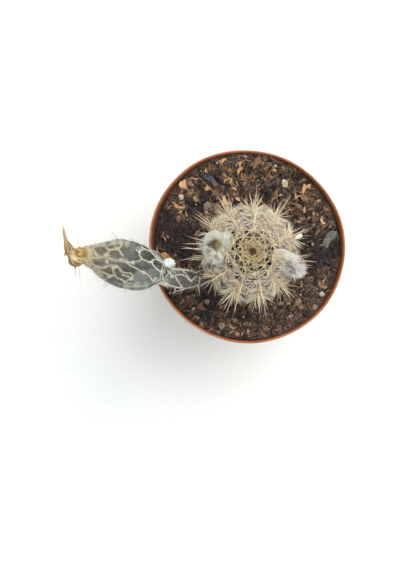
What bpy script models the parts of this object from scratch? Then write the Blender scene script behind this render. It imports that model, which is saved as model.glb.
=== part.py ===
"""A flower-of-prayer cactus (Echinopsis mirabilis) in a small round plastic pot.

The stem is a short ribbed column with a domed top. It carries two woolly flower buds on its shoulder,
and low on one flank a long netted seed pod that ends in its dried flower. Metres, +Z up. The origin is
on the pot's axis, at the middle of its underside. An azimuth is counted from +X towards +Y.
"""

import math
import random

import bmesh
import bpy
from mathutils import Matrix, Vector, noise
from mathutils.bvhtree import BVHTree

MM = 0.001
UP = Vector((0.0, 0.0, 1.0))

# Clear space between two pieces that touch
SEAT_GAP = 0.35 * MM

# Pot: a 5.5 cm nursery pot with a collar, and a ledge where the collar meets the body
RIM_RADIUS = 27.5 * MM
POT_HEIGHT = 49.0 * MM
RIM_WIDTH = 1.15 * MM
LIP_HEIGHT = 1.6 * MM
LIP_PROUD = 0.45 * MM
COLLAR_HEIGHT = 7.5 * MM
COLLAR_DRAFT = 0.7 * MM
COLLAR_STEP = 1.3 * MM
WALL = 0.9 * MM
FOOT_RADIUS = 18.5 * MM
FOOT_FILLET = 0.8 * MM
FLOOR = 1.1 * MM
POT_SIDES = 56
DRAIN_HOLES = 5
DRAIN_RADIUS = 1.9 * MM
DRAIN_CIRCLE = 12.5 * MM

# The soft rim is squeezed a little out of round
SQUEEZE = 0.015
SQUEEZE_AZIMUTH = math.radians(150)

# Soil: how deep its surface lies under the rim at the four sides, from +X towards +Y
SOIL_DEPTHS = (4.6 * MM, 3.6 * MM, 6.6 * MM, 3.4 * MM)
SOIL_LUMP = 0.75 * MM
SOIL_SIDES = 40
SOIL_TOP_RINGS = 10
CHIP_COUNT = 60
CHIP_LENGTHS = (1.6 * MM, 4.0 * MM)
CHIP_WIDTHS = (0.8 * MM, 1.5 * MM)
CHIP_SINK = 0.45 * MM

# Stem: a column with a domed top, tapered towards its buried foot. It stands off the pot's axis, and
# the places of the pod, its dried flower, the buds and the crumb are counted from its own axis.
STEM_AXIS = Vector((0.1 * MM, -2.4 * MM, 0.0))
STEM_RADIUS = 11.5 * MM
DOME_CENTRE = POT_HEIGHT + 8.5 * MM
STEM_TAPER = 0.10
BURIED_TOP = 42.0 * MM
ROOT_TIP = 33.0 * MM
APEX_DIP = 0.9 * MM
APEX_DIP_WIDTH = 2.2 * MM
RIB_AZIMUTHS = (22, 56, 88, 120, 150, 182, 214, 247, 280, 312, 345)
RIB_DEPTH = 1.7 * MM
RIB_START = 6.0 * MM
RIB_END = 50.0 * MM
RIB_SECTION = (1.0, 0.62, 0.0, 0.62)
TUBERCLE = 0.6 * MM
TUBERCLE_LENGTH = 1.3 * MM
STEM_SHOWN_RINGS = 23
ROOT_RINGS = 3

# Areoles: how far each lies from the stem's tip along its rib. Neighbouring ribs are staggered.
AREOLES_EVEN = (1.7 * MM, 4.9 * MM, 9.3 * MM, 13.9 * MM, 18.5 * MM, 23.1 * MM, 27.4 * MM)
AREOLES_ODD = (3.1 * MM, 6.9 * MM, 11.6 * MM, 16.2 * MM, 20.8 * MM, 25.2 * MM)

# Spines: long ones stand out from the ribs, short ones fan out over the valleys
LONG_SPINE = 10.8 * MM
LONG_SPINE_RADIUS = 0.25 * MM
LONG_SPINE_RISE = 0.36
SHORT_SPINE = 4.4 * MM
SHORT_SPINE_RADIUS = 0.17 * MM
SPINE_ROOT = 1.2 * MM
SHORT_SPINE_BEARINGS = (30, 82, 130, 230, 278, 330)
SHORT_SPINE_TILT = math.radians(24)

# Seed pod: points on its middle line with the radius there in mm, from the stem outwards
POD_ROUTE = (
    ((-7.8, -4.7, 46.2), 1.3),
    ((-10.6, -6.6, 47.2), 1.45),
    ((-12.9, -7.3, 48.7), 2.2),
    ((-14.8, -7.4, 50.3), 3.0),
    ((-17.8, -7.1, 51.9), 3.2),
    ((-21.0, -6.4, 53.3), 3.2),
    ((-23.6, -5.3, 54.7), 3.2),
    ((-26.2, -4.3, 56.4), 4.6),
    ((-30.0, -3.8, 59.2), 6.05),
    ((-34.0, -2.7, 62.4), 6.25),
    ((-37.3, -1.9, 64.9), 5.3),
    ((-39.8, -1.3, 66.8), 4.0),
    ((-41.7, -0.9, 68.3), 3.1),
    ((-42.6, -0.8, 69.0), 2.6),
)
NET_CELLS_ROUND = 9
NET_ROWS = 9
NET_WIDTH = 0.3 * MM
NET_HEIGHT = 0.36 * MM
CELL_BULGE = 0.3 * MM
BRISTLE_COUNT = 44
BRISTLE_LENGTHS = (2.2 * MM, 4.0 * MM)
BRISTLE_RADIUS = 0.15 * MM
BRISTLE_ROOT = 1.0 * MM
BRISTLED_SHARE = (0.2, 0.97)

# Dried flower: each shred's middle line with its half width in mm. Its thickness is a share of that.
FLOWER_SHREDS = (
    (((-43.4, -0.7, 69.4), 1.9), ((-45.2, -1.0, 70.4), 1.35), ((-46.3, 0.4, 71.9), 0.95),
     ((-46.7, 3.2, 74.0), 0.7), ((-46.9, 6.1, 76.3), 0.3)),
    (((-43.5, -1.0, 69.5), 1.5), ((-44.7, -2.6, 70.1), 1.15), ((-45.0, -4.3, 70.4), 0.35)),
    (((-43.4, -0.4, 69.7), 1.5), ((-43.9, 0.2, 71.0), 1.3), ((-44.3, 0.9, 72.0), 0.4)),
)
SHRED_THICKNESS = 0.6

# Woolly flower buds on the stem's shoulder
LEFT_BUD_PLACE = Vector((-9.7 * MM, 1.0 * MM, 66.2 * MM))
LEFT_BUD_SIZE = Vector((3.7 * MM, 4.5 * MM, 4.1 * MM))
LEFT_BUD_PIT = Vector((0.12, 0.16, 0.98)).normalized()
PIT_ANGLE = math.radians(24)
PIT_DEPTH = 1.9 * MM
RIGHT_BUD_PLACE = Vector((9.2 * MM, -2.6 * MM, 65.2 * MM))
RIGHT_BUD_SIZE = Vector((5.3 * MM, 3.3 * MM, 3.1 * MM))
RIGHT_BUD_AZIMUTH = math.radians(-36)
RIGHT_BUD_RISE = math.radians(-14)
TUFT = 0.7 * MM
BUD_SIDES = 20
BUD_RINGS = 13

# A perlite crumb caught beside the pod's waist
CRUMB_PLACE = Vector((-21.6 * MM, -2.7 * MM, 59.0 * MM))
CRUMB_SIZE = Vector((1.7 * MM, 1.3 * MM, 1.4 * MM))


def clear_scene():
    for obj in list(bpy.data.objects):
        bpy.data.objects.remove(obj)


def new_collection(name):
    made = bpy.data.collections.new(name)
    bpy.context.scene.collection.children.link(made)
    return made


def make_material(name, colour, roughness):
    made = bpy.data.materials.new(name)
    made.use_nodes = True
    shader = made.node_tree.nodes["Principled BSDF"]
    shader.inputs["Base Color"].default_value = (*colour, 1.0)
    shader.inputs["Roughness"].default_value = roughness
    shader.inputs["Metallic"].default_value = 0.0
    return made


def add_object(name, bm, collection, finish=None):
    """A new object that takes over this bmesh, with its faces pointing out."""
    bmesh.ops.recalc_face_normals(bm, faces=bm.faces)
    if bm.calc_volume(signed=True) < 0:
        bmesh.ops.reverse_faces(bm, faces=bm.faces)
    mesh = bpy.data.meshes.new(name)
    bm.to_mesh(mesh)
    bm.free()
    obj = bpy.data.objects.new(name, mesh)
    collection.objects.link(obj)
    if finish:
        mesh.materials.append(finish)
    return obj


def add_cutter(name, bm, cutters):
    cutter = add_object(name, bm, cutters)
    cutter.hide_render = True
    cutter.display_type = "WIRE"
    return cutter


def shade_round(obj, angle=math.radians(40)):
    obj.data.shade_smooth()
    obj.data.set_sharp_from_angle(angle=angle)


def apply_modifiers(obj):
    graph = bpy.context.evaluated_depsgraph_get()
    mesh = bpy.data.meshes.new_from_object(obj.evaluated_get(graph))
    obj.modifiers.clear()
    obj.data = mesh


def cut_away(obj, cutter):
    cut = obj.modifiers.new(cutter.name, "BOOLEAN")
    cut.operation = "DIFFERENCE"
    cut.object = cutter


def join_repeats(obj, repeats):
    """Fuses every object of the collection into obj, and removes them."""
    union = obj.modifiers.new("repeats", "BOOLEAN")
    union.operation = "UNION"
    union.operand_type = "COLLECTION"
    union.collection = repeats
    union.solver = "MANIFOLD"
    apply_modifiers(obj)
    for repeat in list(repeats.objects):
        bpy.data.objects.remove(repeat)


def surface_of(obj):
    return BVHTree.FromObject(obj, bpy.context.evaluated_depsgraph_get())


def direction(azimuth, rise):
    """The unit vector at this azimuth, raised above the level by this angle."""
    level = math.cos(rise)
    return Vector((level * math.cos(azimuth), level * math.sin(azimuth), math.sin(rise)))


def shaped_ball(sides, rings, place):
    """A closed ball with each vertex put where place(ring, turn) says. A turn runs from 0 to 1."""
    bm = bmesh.new()
    bmesh.ops.create_uvsphere(bm, u_segments=sides, v_segments=rings, radius=1.0)
    for vert in bm.verts:
        ring, turn = ring_and_turn(vert.co, rings)
        vert.co = place(int(ring), turn)
    return bm


def ring_and_turn(co, rings, parts=1):
    """The ring of a point on the unit ball, to the nearest part of a ring, and its turn."""
    polar = math.acos(max(-1.0, min(1.0, co.z / co.length)))
    return round(parts * polar * rings / math.pi) / parts, (math.atan2(co.y, co.x) / (2 * math.pi)) % 1.0


def add_spike(collection, root, tip, radius):
    """A three-sided spine that tapers from its root to a point."""
    bm = bmesh.new()
    reach = tip - root
    bmesh.ops.create_cone(bm, cap_ends=True, segments=3, radius1=radius, radius2=0.0, depth=reach.length)
    turned = reach.to_track_quat("Z", "Y").to_matrix().to_4x4()
    bmesh.ops.transform(bm, matrix=Matrix.Translation((root + tip) / 2) @ turned, verts=bm.verts)
    return add_object("spike", bm, collection)


def is_clear(root, tip, radius, surfaces):
    """Whether the line from root to tip keeps the seat gap to every one of the surfaces."""
    steps = 1 + int((tip - root).length / (0.35 * MM))
    for n in range(steps + 1):
        spot = root.lerp(tip, n / steps)
        for surface in surfaces:
            if surface.find_nearest(spot, radius + SEAT_GAP)[0] is not None:
                return False
    return True


class Route:
    """A smooth line through points given in mm from the stem's axis, each with a radius there.

    A share of the line runs from 0 at its start to 1 at its end.
    """

    def __init__(self, stations):
        self.points = [STEM_AXIS + Vector(point) * MM for point, _ in stations]
        self.radii = [radius * MM for _, radius in stations]
        steps = [(b - a).length for a, b in zip(self.points, self.points[1:])]
        self.marks = [sum(steps[:n]) / sum(steps) for n in range(len(self.points))]

    def at(self, share):
        """(centre, side, up, radius) at this share of the line."""
        leg = max(n for n in range(len(self.marks) - 1) if n == 0 or self.marks[n] <= share)
        part = (share - self.marks[leg]) / (self.marks[leg + 1] - self.marks[leg])
        ends = [min(max(n, 0), len(self.points) - 1) for n in range(leg - 1, leg + 3)]
        centre = curve_through([self.points[n] for n in ends], part)
        forward = curve_through([self.points[n] for n in ends], part + 0.01) - centre
        side = forward.cross(UP).normalized()
        radius = self.radii[leg] * (1 - part) + self.radii[leg + 1] * part
        return centre, side, side.cross(forward).normalized(), radius


def curve_through(four, part):
    """The Catmull-Rom curve between the second and third of four points."""
    a, b, c, d = four
    bend = (c - a) * part + (2 * a - 5 * b + 4 * c - d) * part**2 + (3 * b - a - 3 * c + d) * part**3
    return b + 0.5 * bend


# Pot


def squeezed(co):
    """A point of the pot or soil moved with the rim's slight oval. The foot stays round."""
    long_way = direction(SQUEEZE_AZIMUTH, 0.0)
    short_way = UP.cross(long_way)
    share = SQUEEZE * co.z / POT_HEIGHT
    return co + long_way * co.dot(long_way) * share - short_way * co.dot(short_way) * share


def squeeze(obj):
    for vert in obj.data.vertices:
        vert.co = squeezed(vert.co)


def ledge_height():
    return POT_HEIGHT - COLLAR_HEIGHT - 0.9 * MM


def inner_wall_radius(height):
    """The pot's inner radius at a height, below its ledge or inside its collar."""
    low = (FOOT_RADIUS - WALL, FLOOR + FOOT_FILLET)
    high = (RIM_RADIUS - LIP_PROUD - COLLAR_STEP - WALL, ledge_height())
    if height > ledge_height():
        low = (RIM_RADIUS - RIM_WIDTH - COLLAR_DRAFT, ledge_height() + 1.1 * MM)
        high = (RIM_RADIUS - RIM_WIDTH, POT_HEIGHT - 0.25 * MM)
    return low[0] + (high[0] - low[0]) * (height - low[1]) / (high[1] - low[1])


def pot_profile():
    """(radius, height) from the middle of the floor, up the inside, over the rim and down the outside."""
    ledge = ledge_height()
    under_collar = RIM_RADIUS - LIP_PROUD - COLLAR_STEP
    inner_rim = RIM_RADIUS - RIM_WIDTH
    return (
        (0.0, FLOOR),
        (FOOT_RADIUS - WALL - FOOT_FILLET, FLOOR),
        (FOOT_RADIUS - WALL, FLOOR + FOOT_FILLET),
        (under_collar - WALL, ledge),
        (inner_rim - COLLAR_DRAFT, ledge + 1.1 * MM),
        (inner_rim, POT_HEIGHT - 0.25 * MM),
        (inner_rim + 0.25 * MM, POT_HEIGHT),
        (RIM_RADIUS - 0.3 * MM, POT_HEIGHT),
        (RIM_RADIUS, POT_HEIGHT - 0.3 * MM),
        (RIM_RADIUS, POT_HEIGHT - LIP_HEIGHT),
        (RIM_RADIUS - LIP_PROUD, POT_HEIGHT - LIP_HEIGHT - 0.3 * MM),
        (RIM_RADIUS - LIP_PROUD - 0.4 * MM, ledge + 0.7 * MM),
        (under_collar, ledge - 0.1 * MM),
        (FOOT_RADIUS + 0.1 * MM, FOOT_FILLET),
        (FOOT_RADIUS - FOOT_FILLET, 0.0),
        (0.0, 0.0),
    )


def build_pot(parts, cutters, finish):
    """The pot's profile turned about its axis, with drain holes through its floor."""
    bm = bmesh.new()
    points = [bm.verts.new((radius, 0.0, height)) for radius, height in pot_profile()]
    for start, end in zip(points, points[1:]):
        bm.edges.new((start, end))
    pot = add_object("pot", bm, parts, finish)
    turn = pot.modifiers.new("turn", "SCREW")
    turn.steps = POT_SIDES
    turn.render_steps = POT_SIDES
    turn.use_merge_vertices = True
    turn.merge_threshold = 0.00001
    for n in range(DRAIN_HOLES):
        bm = bmesh.new()
        bmesh.ops.create_cone(
            bm, cap_ends=True, segments=12, radius1=DRAIN_RADIUS, radius2=DRAIN_RADIUS, depth=6 * FLOOR
        )
        place = direction(2 * math.pi * (n + 0.5) / DRAIN_HOLES, 0.0) * DRAIN_CIRCLE
        bmesh.ops.translate(bm, verts=bm.verts, vec=place)
        cut_away(pot, add_cutter(f"drain_cutter_{n}", bm, cutters))
    apply_modifiers(pot)
    squeeze(pot)
    shade_round(pot)
    return pot


# Stem


def stem_profile(along):
    """(radius, height, rise of the normal) of the smooth stem at a distance from its tip."""
    quarter = STEM_RADIUS * math.pi / 2
    if along > quarter:
        below = along - quarter
        return STEM_RADIUS - STEM_TAPER * below, DOME_CENTRE - below, 0.0
    polar = along / STEM_RADIUS
    radius = STEM_RADIUS * math.sin(polar)
    dip = APEX_DIP * math.exp(-((radius / APEX_DIP_WIDTH) ** 2))
    return radius, DOME_CENTRE + STEM_RADIUS * math.cos(polar) - dip, math.pi / 2 - polar


def skin_point(azimuth, along, crest, areoles):
    """A point of the ribbed skin. The crest is 1 on a rib's edge and 0 in the valley beside it."""
    radius, height, rise = stem_profile(along)
    grown = min(1.0, along / RIB_START) * max(0.0, min(1.0, (height - BURIED_TOP) / (RIB_END - BURIED_TOP)))
    bump = sum(math.exp(-(((along - areole) / TUBERCLE_LENGTH) ** 2)) for areole in areoles)
    relief = TUBERCLE * (bump - 0.5) * crest**2 - RIB_DEPTH * (1.0 - crest)
    smooth = STEM_AXIS + direction(azimuth, 0.0) * radius + UP * height
    return smooth + direction(azimuth, rise) * relief * grown


def areoles_of(rib):
    return AREOLES_ODD if rib % 2 else AREOLES_EVEN


def stem_cage(gap=0.0):
    """The ribbed stem and the blunt root under it, all of it grown outwards by a gap."""
    ribs = len(RIB_AZIMUTHS)
    sides = len(RIB_SECTION) * ribs
    shown_length = STEM_RADIUS * math.pi / 2 + DOME_CENTRE - BURIED_TOP

    def place(ring, turn):
        rib, part = divmod(round(turn * sides) % sides, len(RIB_SECTION))
        span = (RIB_AZIMUTHS[(rib + 1) % ribs] - RIB_AZIMUTHS[rib]) % 360
        azimuth = math.radians(RIB_AZIMUTHS[rib] + span * part / len(RIB_SECTION))
        if ring <= STEM_SHOWN_RINGS:
            along = shown_length * ring / STEM_SHOWN_RINGS
            spot = skin_point(azimuth, along, RIB_SECTION[part], areoles_of(rib))
            return spot + direction(azimuth, stem_profile(along)[2]) * gap
        share = (ring - STEM_SHOWN_RINGS) / (ROOT_RINGS + 1)
        radius = (stem_profile(shown_length)[0] + gap) * math.cos(share**2 * math.pi / 2)
        height = BURIED_TOP - (BURIED_TOP - ROOT_TIP + gap) * math.sin(share * math.pi / 2)
        return STEM_AXIS + direction(azimuth, 0.0) * radius + UP * height

    return shaped_ball(sides, STEM_SHOWN_RINGS + ROOT_RINGS + 1, place)


def spines_of_areole(rib, along, chance):
    """(root, tip, radius) of each spine of one areole."""
    azimuth = math.radians(RIB_AZIMUTHS[rib])
    foot = skin_point(azimuth, along, 1.0, areoles_of(rib))
    rise = stem_profile(along)[2]
    outward = direction(azimuth, rise)
    down_rib = direction(azimuth, rise - math.pi / 2)
    side = UP.cross(direction(azimuth, 0.0))
    young = min(1.0, 0.35 + along / (8.0 * MM))
    low = max(0.0, (along - 14.0 * MM) / (14.0 * MM))
    root = foot - outward * SPINE_ROOT
    spines = []
    for n in range(2 if along < 13.0 * MM else 1):
        spread = math.radians(chance.uniform(2, 9) * (1, -1)[n] + chance.uniform(-3, 3))
        aim = direction(azimuth + spread, rise * LONG_SPINE_RISE + math.radians(chance.uniform(-6, 8)))
        length = LONG_SPINE * young * (1 - 0.4 * low) * chance.uniform(0.8, 1.1)
        spines.append((root, foot + aim * length, LONG_SPINE_RADIUS))
    for bearing in SHORT_SPINE_BEARINGS:
        turned = math.radians(bearing + chance.uniform(-10, 10))
        tilt = SHORT_SPINE_TILT + math.radians(chance.uniform(-6, 10))
        across = down_rib * math.cos(turned) + side * math.sin(turned)
        aim = across * math.cos(tilt) + outward * math.sin(tilt)
        length = SHORT_SPINE * (0.4 + 0.6 * young) * chance.uniform(0.8, 1.1)
        spines.append((root, foot + aim * length, SHORT_SPINE_RADIUS))
    return spines


def build_cactus(parts, spikes, finish, neighbours):
    """The stem with its spines fused in. A spine that would meet a neighbour is left out."""
    cactus = add_object("cactus", stem_cage(), parts, finish)
    surfaces = [surface_of(neighbour) for neighbour in neighbours]
    chance = random.Random(11)
    for rib in range(len(RIB_AZIMUTHS)):
        for along in areoles_of(rib):
            for root, tip, radius in spines_of_areole(rib, along, chance):
                if is_clear(root, tip, radius, surfaces):
                    add_spike(spikes, root, tip, radius)
    join_repeats(cactus, spikes)
    shade_round(cactus)
    return cactus


# Soil


def soil_height(x, y):
    """The soil's surface: it slopes with SOIL_DEPTHS and is lumpy."""
    azimuth = math.atan2(y, x)
    reach = min(1.0, math.hypot(x, y) / RIM_RADIUS)
    shares = [max(0.0, math.cos(azimuth - n * math.pi / 2)) ** 2 for n in range(4)]
    at_side = sum(share * depth for share, depth in zip(shares, SOIL_DEPTHS))
    middle = sum(SOIL_DEPTHS) / 4
    broad = noise.noise(Vector((x, y, 0.0)) / (3.1 * MM))
    fine = noise.noise(Vector((x, y, 4 * MM)) / (1.4 * MM))
    return POT_HEIGHT - middle - (at_side - middle) * reach**1.5 + SOIL_LUMP * (broad + 0.6 * fine)


def soil_cage():
    """A plug that fills the pot, clear of its walls, up to the lumpy surface."""
    ledge = ledge_height()
    bottom = FLOOR + SEAT_GAP
    lowest_top = ledge + 1.4 * MM
    under_rings = (lowest_top - 0.3 * MM, ledge - 0.2 * MM, bottom + FOOT_FILLET, bottom)

    def place(ring, turn):
        way = direction(2 * math.pi * turn, 0.0)
        if ring <= SOIL_TOP_RINGS:
            edge = inner_wall_radius(lowest_top) - SEAT_GAP
            spot = way * edge * math.sin(ring / SOIL_TOP_RINGS * math.pi / 2)
            spot.z = max(soil_height(spot.x, spot.y), lowest_top)
            return spot
        if ring <= SOIL_TOP_RINGS + len(under_rings):
            height = under_rings[ring - SOIL_TOP_RINGS - 1]
            radius = inner_wall_radius(max(height, FLOOR + FOOT_FILLET)) - 1.3 * SEAT_GAP
            if height == bottom:
                radius -= FOOT_FILLET
            return way * radius + UP * height
        return UP * bottom

    return shaped_ball(SOIL_SIDES, SOIL_TOP_RINGS + len(under_rings) + 1, place)


def hole_radius():
    """The radius of the stem's hole: the stem's own where it enters the soil, and the gap."""
    return stem_profile(STEM_RADIUS * math.pi / 2 + DOME_CENTRE - POT_HEIGHT)[0] + SEAT_GAP


def chip_spot(surface, length, chance):
    """A place for a chip in the soil's surface, between the stem's hole and the pot's wall."""
    farthest = RIM_RADIUS - RIM_WIDTH - COLLAR_DRAFT - SEAT_GAP - CHIP_LENGTHS[1] / 2 - 0.8 * MM
    while True:
        spot = direction(chance.uniform(0, 2 * math.pi), 0.0) * farthest * math.sqrt(chance.random())
        if (spot - STEM_AXIS).length > hole_radius() + length / 2:
            spot = surface.ray_cast(spot + UP * 2 * POT_HEIGHT, -UP)[0]
            return spot - UP * chance.uniform(0.0, CHIP_SINK)


def add_chip(chips, surface, chance):
    """A bark chip or crumb, about half sunk in the surface."""
    size = Vector(chance.uniform(*span) for span in (CHIP_LENGTHS, CHIP_WIDTHS, CHIP_WIDTHS))
    spot = chip_spot(surface, size.x, chance)
    bm = bmesh.new()
    bmesh.ops.create_icosphere(bm, subdivisions=1, radius=0.5)
    for vert in bm.verts:
        vert.co *= chance.uniform(0.75, 1.1)
    bmesh.ops.scale(bm, vec=size, verts=bm.verts)
    heading = Matrix.Rotation(chance.uniform(0, math.pi), 4, "Z")
    turned = heading @ Matrix.Rotation(chance.uniform(-0.3, 0.3), 4, "Y")
    bmesh.ops.transform(bm, matrix=Matrix.Translation(spot) @ turned, verts=bm.verts)
    return add_object("chip", bm, chips)


def build_soil(parts, cutters, chips, finish):
    """The soil with chips in its surface, and a plain round hole for the stem's foot."""
    soil = add_object("soil", soil_cage(), parts, finish)
    surface = surface_of(soil)
    chance = random.Random(5)
    for _ in range(CHIP_COUNT):
        add_chip(chips, surface, chance)
    join_repeats(soil, chips)
    hole_bottom = ROOT_TIP - SEAT_GAP
    hole_top = POT_HEIGHT + STEM_RADIUS
    radius = hole_radius()
    bm = bmesh.new()
    bmesh.ops.create_cone(
        bm, cap_ends=True, segments=28, radius1=radius, radius2=radius, depth=hole_top - hole_bottom
    )
    bmesh.ops.translate(bm, verts=bm.verts, vec=STEM_AXIS + UP * (hole_top + hole_bottom) / 2)
    cut_away(soil, add_cutter("stem_hole_cutter", bm, cutters))
    apply_modifiers(soil)
    squeeze(soil)
    return soil


# Seed pod


def pod_cage(route):
    """The pod with a raised net. The net's lozenges have their corners at the rings and halfway between."""
    bm = bmesh.new()
    bmesh.ops.create_uvsphere(bm, u_segments=NET_CELLS_ROUND, v_segments=NET_ROWS, radius=1.0)
    first_edges = list(bm.edges)
    bmesh.ops.poke(bm, faces=bm.faces)
    bmesh.ops.dissolve_edges(bm, edges=first_edges, use_verts=False)
    for vert in bm.verts:
        ring, turn = ring_and_turn(vert.co, NET_ROWS, parts=2)
        share = max(0.0, min(1.0, (ring - 0.5) / (NET_ROWS - 1)))
        centre, side, up, radius = route.at(share)
        if ring in (0, NET_ROWS):
            vert.co = centre
            continue
        angle = 2 * math.pi * turn
        vert.co = centre + (side * math.cos(angle) + up * math.sin(angle)) * radius
    bmesh.ops.recalc_face_normals(bm, faces=bm.faces)
    cells = [face for face in bm.faces if face.calc_area() > (1.6 * MM) ** 2]
    bmesh.ops.inset_individual(
        bm, faces=cells, thickness=NET_WIDTH, depth=-NET_HEIGHT, use_even_offset=True
    )
    bmesh.ops.poke(bm, faces=cells, offset=CELL_BULGE)
    return bm


def build_seed_pod(parts, finish, grown_stem):
    pod = add_object("seed_pod", pod_cage(Route(POD_ROUTE)), parts, finish)
    cut_away(pod, grown_stem)
    apply_modifiers(pod)
    return pod


def add_bristles(pod, bristles, neighbours):
    """Thin bristles that stand out of the pod's net and lean towards its tip, clear of the neighbours."""
    route = Route(POD_ROUTE)
    surfaces = [surface_of(neighbour) for neighbour in neighbours]
    chance = random.Random(23)
    for _ in range(BRISTLE_COUNT):
        centre, side, up, radius = route.at(chance.uniform(*BRISTLED_SHARE))
        forward = up.cross(side)
        angle = chance.uniform(0, 2 * math.pi)
        out = side * math.cos(angle) + up * math.sin(angle)
        aim = (out + forward * chance.uniform(0.2, 1.0)).normalized()
        foot = centre + out * radius * 0.93
        tip = foot + aim * chance.uniform(*BRISTLE_LENGTHS)
        if is_clear(foot, tip, BRISTLE_RADIUS, surfaces):
            add_spike(bristles, foot - aim * BRISTLE_ROOT, tip, BRISTLE_RADIUS)
    join_repeats(pod, bristles)
    shade_round(pod)


def shred_cage(stations):
    """One flat, tapering shred of the dried flower."""
    route = Route(stations)
    rings = 2 * len(stations) + 1

    def place(ring, turn):
        share = max(0.0, min(1.0, (ring - 1) / (rings - 2)))
        centre, side, up, radius = route.at(share)
        if ring in (0, rings):
            return centre
        angle = 2 * math.pi * turn
        return centre + side * math.cos(angle) * radius + up * math.sin(angle) * radius * SHRED_THICKNESS

    return shaped_ball(8, rings, place)


def build_flower_remains(parts, shreds, finish):
    first, *others = FLOWER_SHREDS
    remains = add_object("flower_remains", shred_cage(first), parts, finish)
    for stations in others:
        add_object("shred", shred_cage(stations), shreds)
    join_repeats(remains, shreds)
    shade_round(remains)
    return remains


# Buds and crumb


def tufted(ring, step):
    """How far a tuft of wool stands out: every second vertex, in a checker pattern, is a tip."""
    return TUFT * (0.5 if (ring + step) % 2 else -0.5)


def build_left_bud(parts, finish, grown_stem):
    """A round bud with an open pit, seated on the stem."""

    def place(ring, turn):
        way = direction(2 * math.pi * turn, math.pi / 2 - math.pi * ring / BUD_RINGS)
        spot = Vector((way.x * LEFT_BUD_SIZE.x, way.y * LEFT_BUD_SIZE.y, way.z * LEFT_BUD_SIZE.z))
        off_pit = way.angle(LEFT_BUD_PIT)
        pit = PIT_DEPTH * max(0.0, 1.0 - (off_pit / PIT_ANGLE) ** 2)
        tuft = tufted(ring, round(turn * BUD_SIDES)) if off_pit > PIT_ANGLE else 0.0
        return STEM_AXIS + LEFT_BUD_PLACE + spot + way * tuft - LEFT_BUD_PIT * pit

    bud = add_object("woolly_bud_left", shaped_ball(BUD_SIDES, BUD_RINGS, place), parts, finish)
    cut_away(bud, grown_stem)
    apply_modifiers(bud)
    return bud


def build_right_bud(parts, finish, grown_stem):
    """A longer bud that points out and down, its wool drawn out towards its tip."""
    forward = direction(RIGHT_BUD_AZIMUTH, RIGHT_BUD_RISE)
    side = UP.cross(forward).normalized()
    up = forward.cross(side)

    def place(ring, turn):
        polar = math.pi * ring / BUD_RINGS
        angle = 2 * math.pi * turn
        round_way = side * math.cos(angle) * RIGHT_BUD_SIZE.y + up * math.sin(angle) * RIGHT_BUD_SIZE.z
        spot = forward * math.cos(polar) * RIGHT_BUD_SIZE.x + round_way * math.sin(polar)
        tuft = tufted(ring, round(turn * BUD_SIDES)) * math.sin(polar)
        return STEM_AXIS + RIGHT_BUD_PLACE + spot + (spot.normalized() + 0.6 * forward) * tuft

    bud = add_object("woolly_bud_right", shaped_ball(BUD_SIDES, BUD_RINGS, place), parts, finish)
    cut_away(bud, grown_stem)
    apply_modifiers(bud)
    return bud


def build_crumb(parts, finish, pod):
    """An angular crumb, let down until it lies a seat gap off the pod."""
    chance = random.Random(3)
    bm = bmesh.new()
    bmesh.ops.create_icosphere(bm, subdivisions=2, radius=1.0)
    for vert in bm.verts:
        vert.co = Vector(a * b for a, b in zip(vert.co * chance.uniform(0.85, 1.12), CRUMB_SIZE))
    bmesh.ops.translate(bm, verts=bm.verts, vec=STEM_AXIS + CRUMB_PLACE)
    surface = surface_of(pod)
    for _ in range(12):
        nearest = min(surface.find_nearest(vert.co)[3] for vert in bm.verts)
        bmesh.ops.translate(bm, verts=bm.verts, vec=-UP * (nearest - SEAT_GAP))
    return add_object("perlite_crumb", bm, parts, finish)


def main():
    clear_scene()
    parts = new_collection("potted_cactus")
    cutters = new_collection("cutters")
    repeats = new_collection("repeats")
    pot_plastic = make_material("pot_plastic", (0.42, 0.13, 0.055), 0.45)
    potting_mix = make_material("potting_mix", (0.055, 0.032, 0.022), 0.95)
    spiny_skin = make_material("spiny_skin", (0.42, 0.34, 0.23), 0.7)
    pod_skin = make_material("pod_skin", (0.25, 0.25, 0.21), 0.6)
    dried_petal = make_material("dried_petal", (0.58, 0.31, 0.11), 0.7)
    wool = make_material("wool", (0.62, 0.58, 0.5), 0.95)
    perlite = make_material("perlite", (0.85, 0.85, 0.82), 0.9)
    grown_stem = add_cutter("grown_stem", stem_cage(SEAT_GAP), cutters)
    pot = build_pot(parts, cutters, pot_plastic)
    soil = build_soil(parts, cutters, repeats, potting_mix)
    pod = build_seed_pod(parts, pod_skin, grown_stem)
    crumb = build_crumb(parts, perlite, pod)
    remains = build_flower_remains(parts, repeats, dried_petal)
    left_bud = build_left_bud(parts, wool, grown_stem)
    right_bud = build_right_bud(parts, wool, grown_stem)
    add_bristles(pod, repeats, (pot, soil, remains, left_bud, crumb))
    build_cactus(parts, repeats, spiny_skin, (pot, soil, pod, remains, left_bud, right_bud, crumb))
    for cutter in list(cutters.objects):
        bpy.data.objects.remove(cutter)


main()
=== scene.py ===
import random
from math import acos, asin, atan2, copysign, cos, exp, hypot, pi, radians, sin, sqrt, tan

import bmesh
import bpy
import numpy as np
from mathutils import Matrix, Quaternion, Vector, noise
from mathutils.bvhtree import BVHTree
from mathutils.kdtree import KDTree


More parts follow.
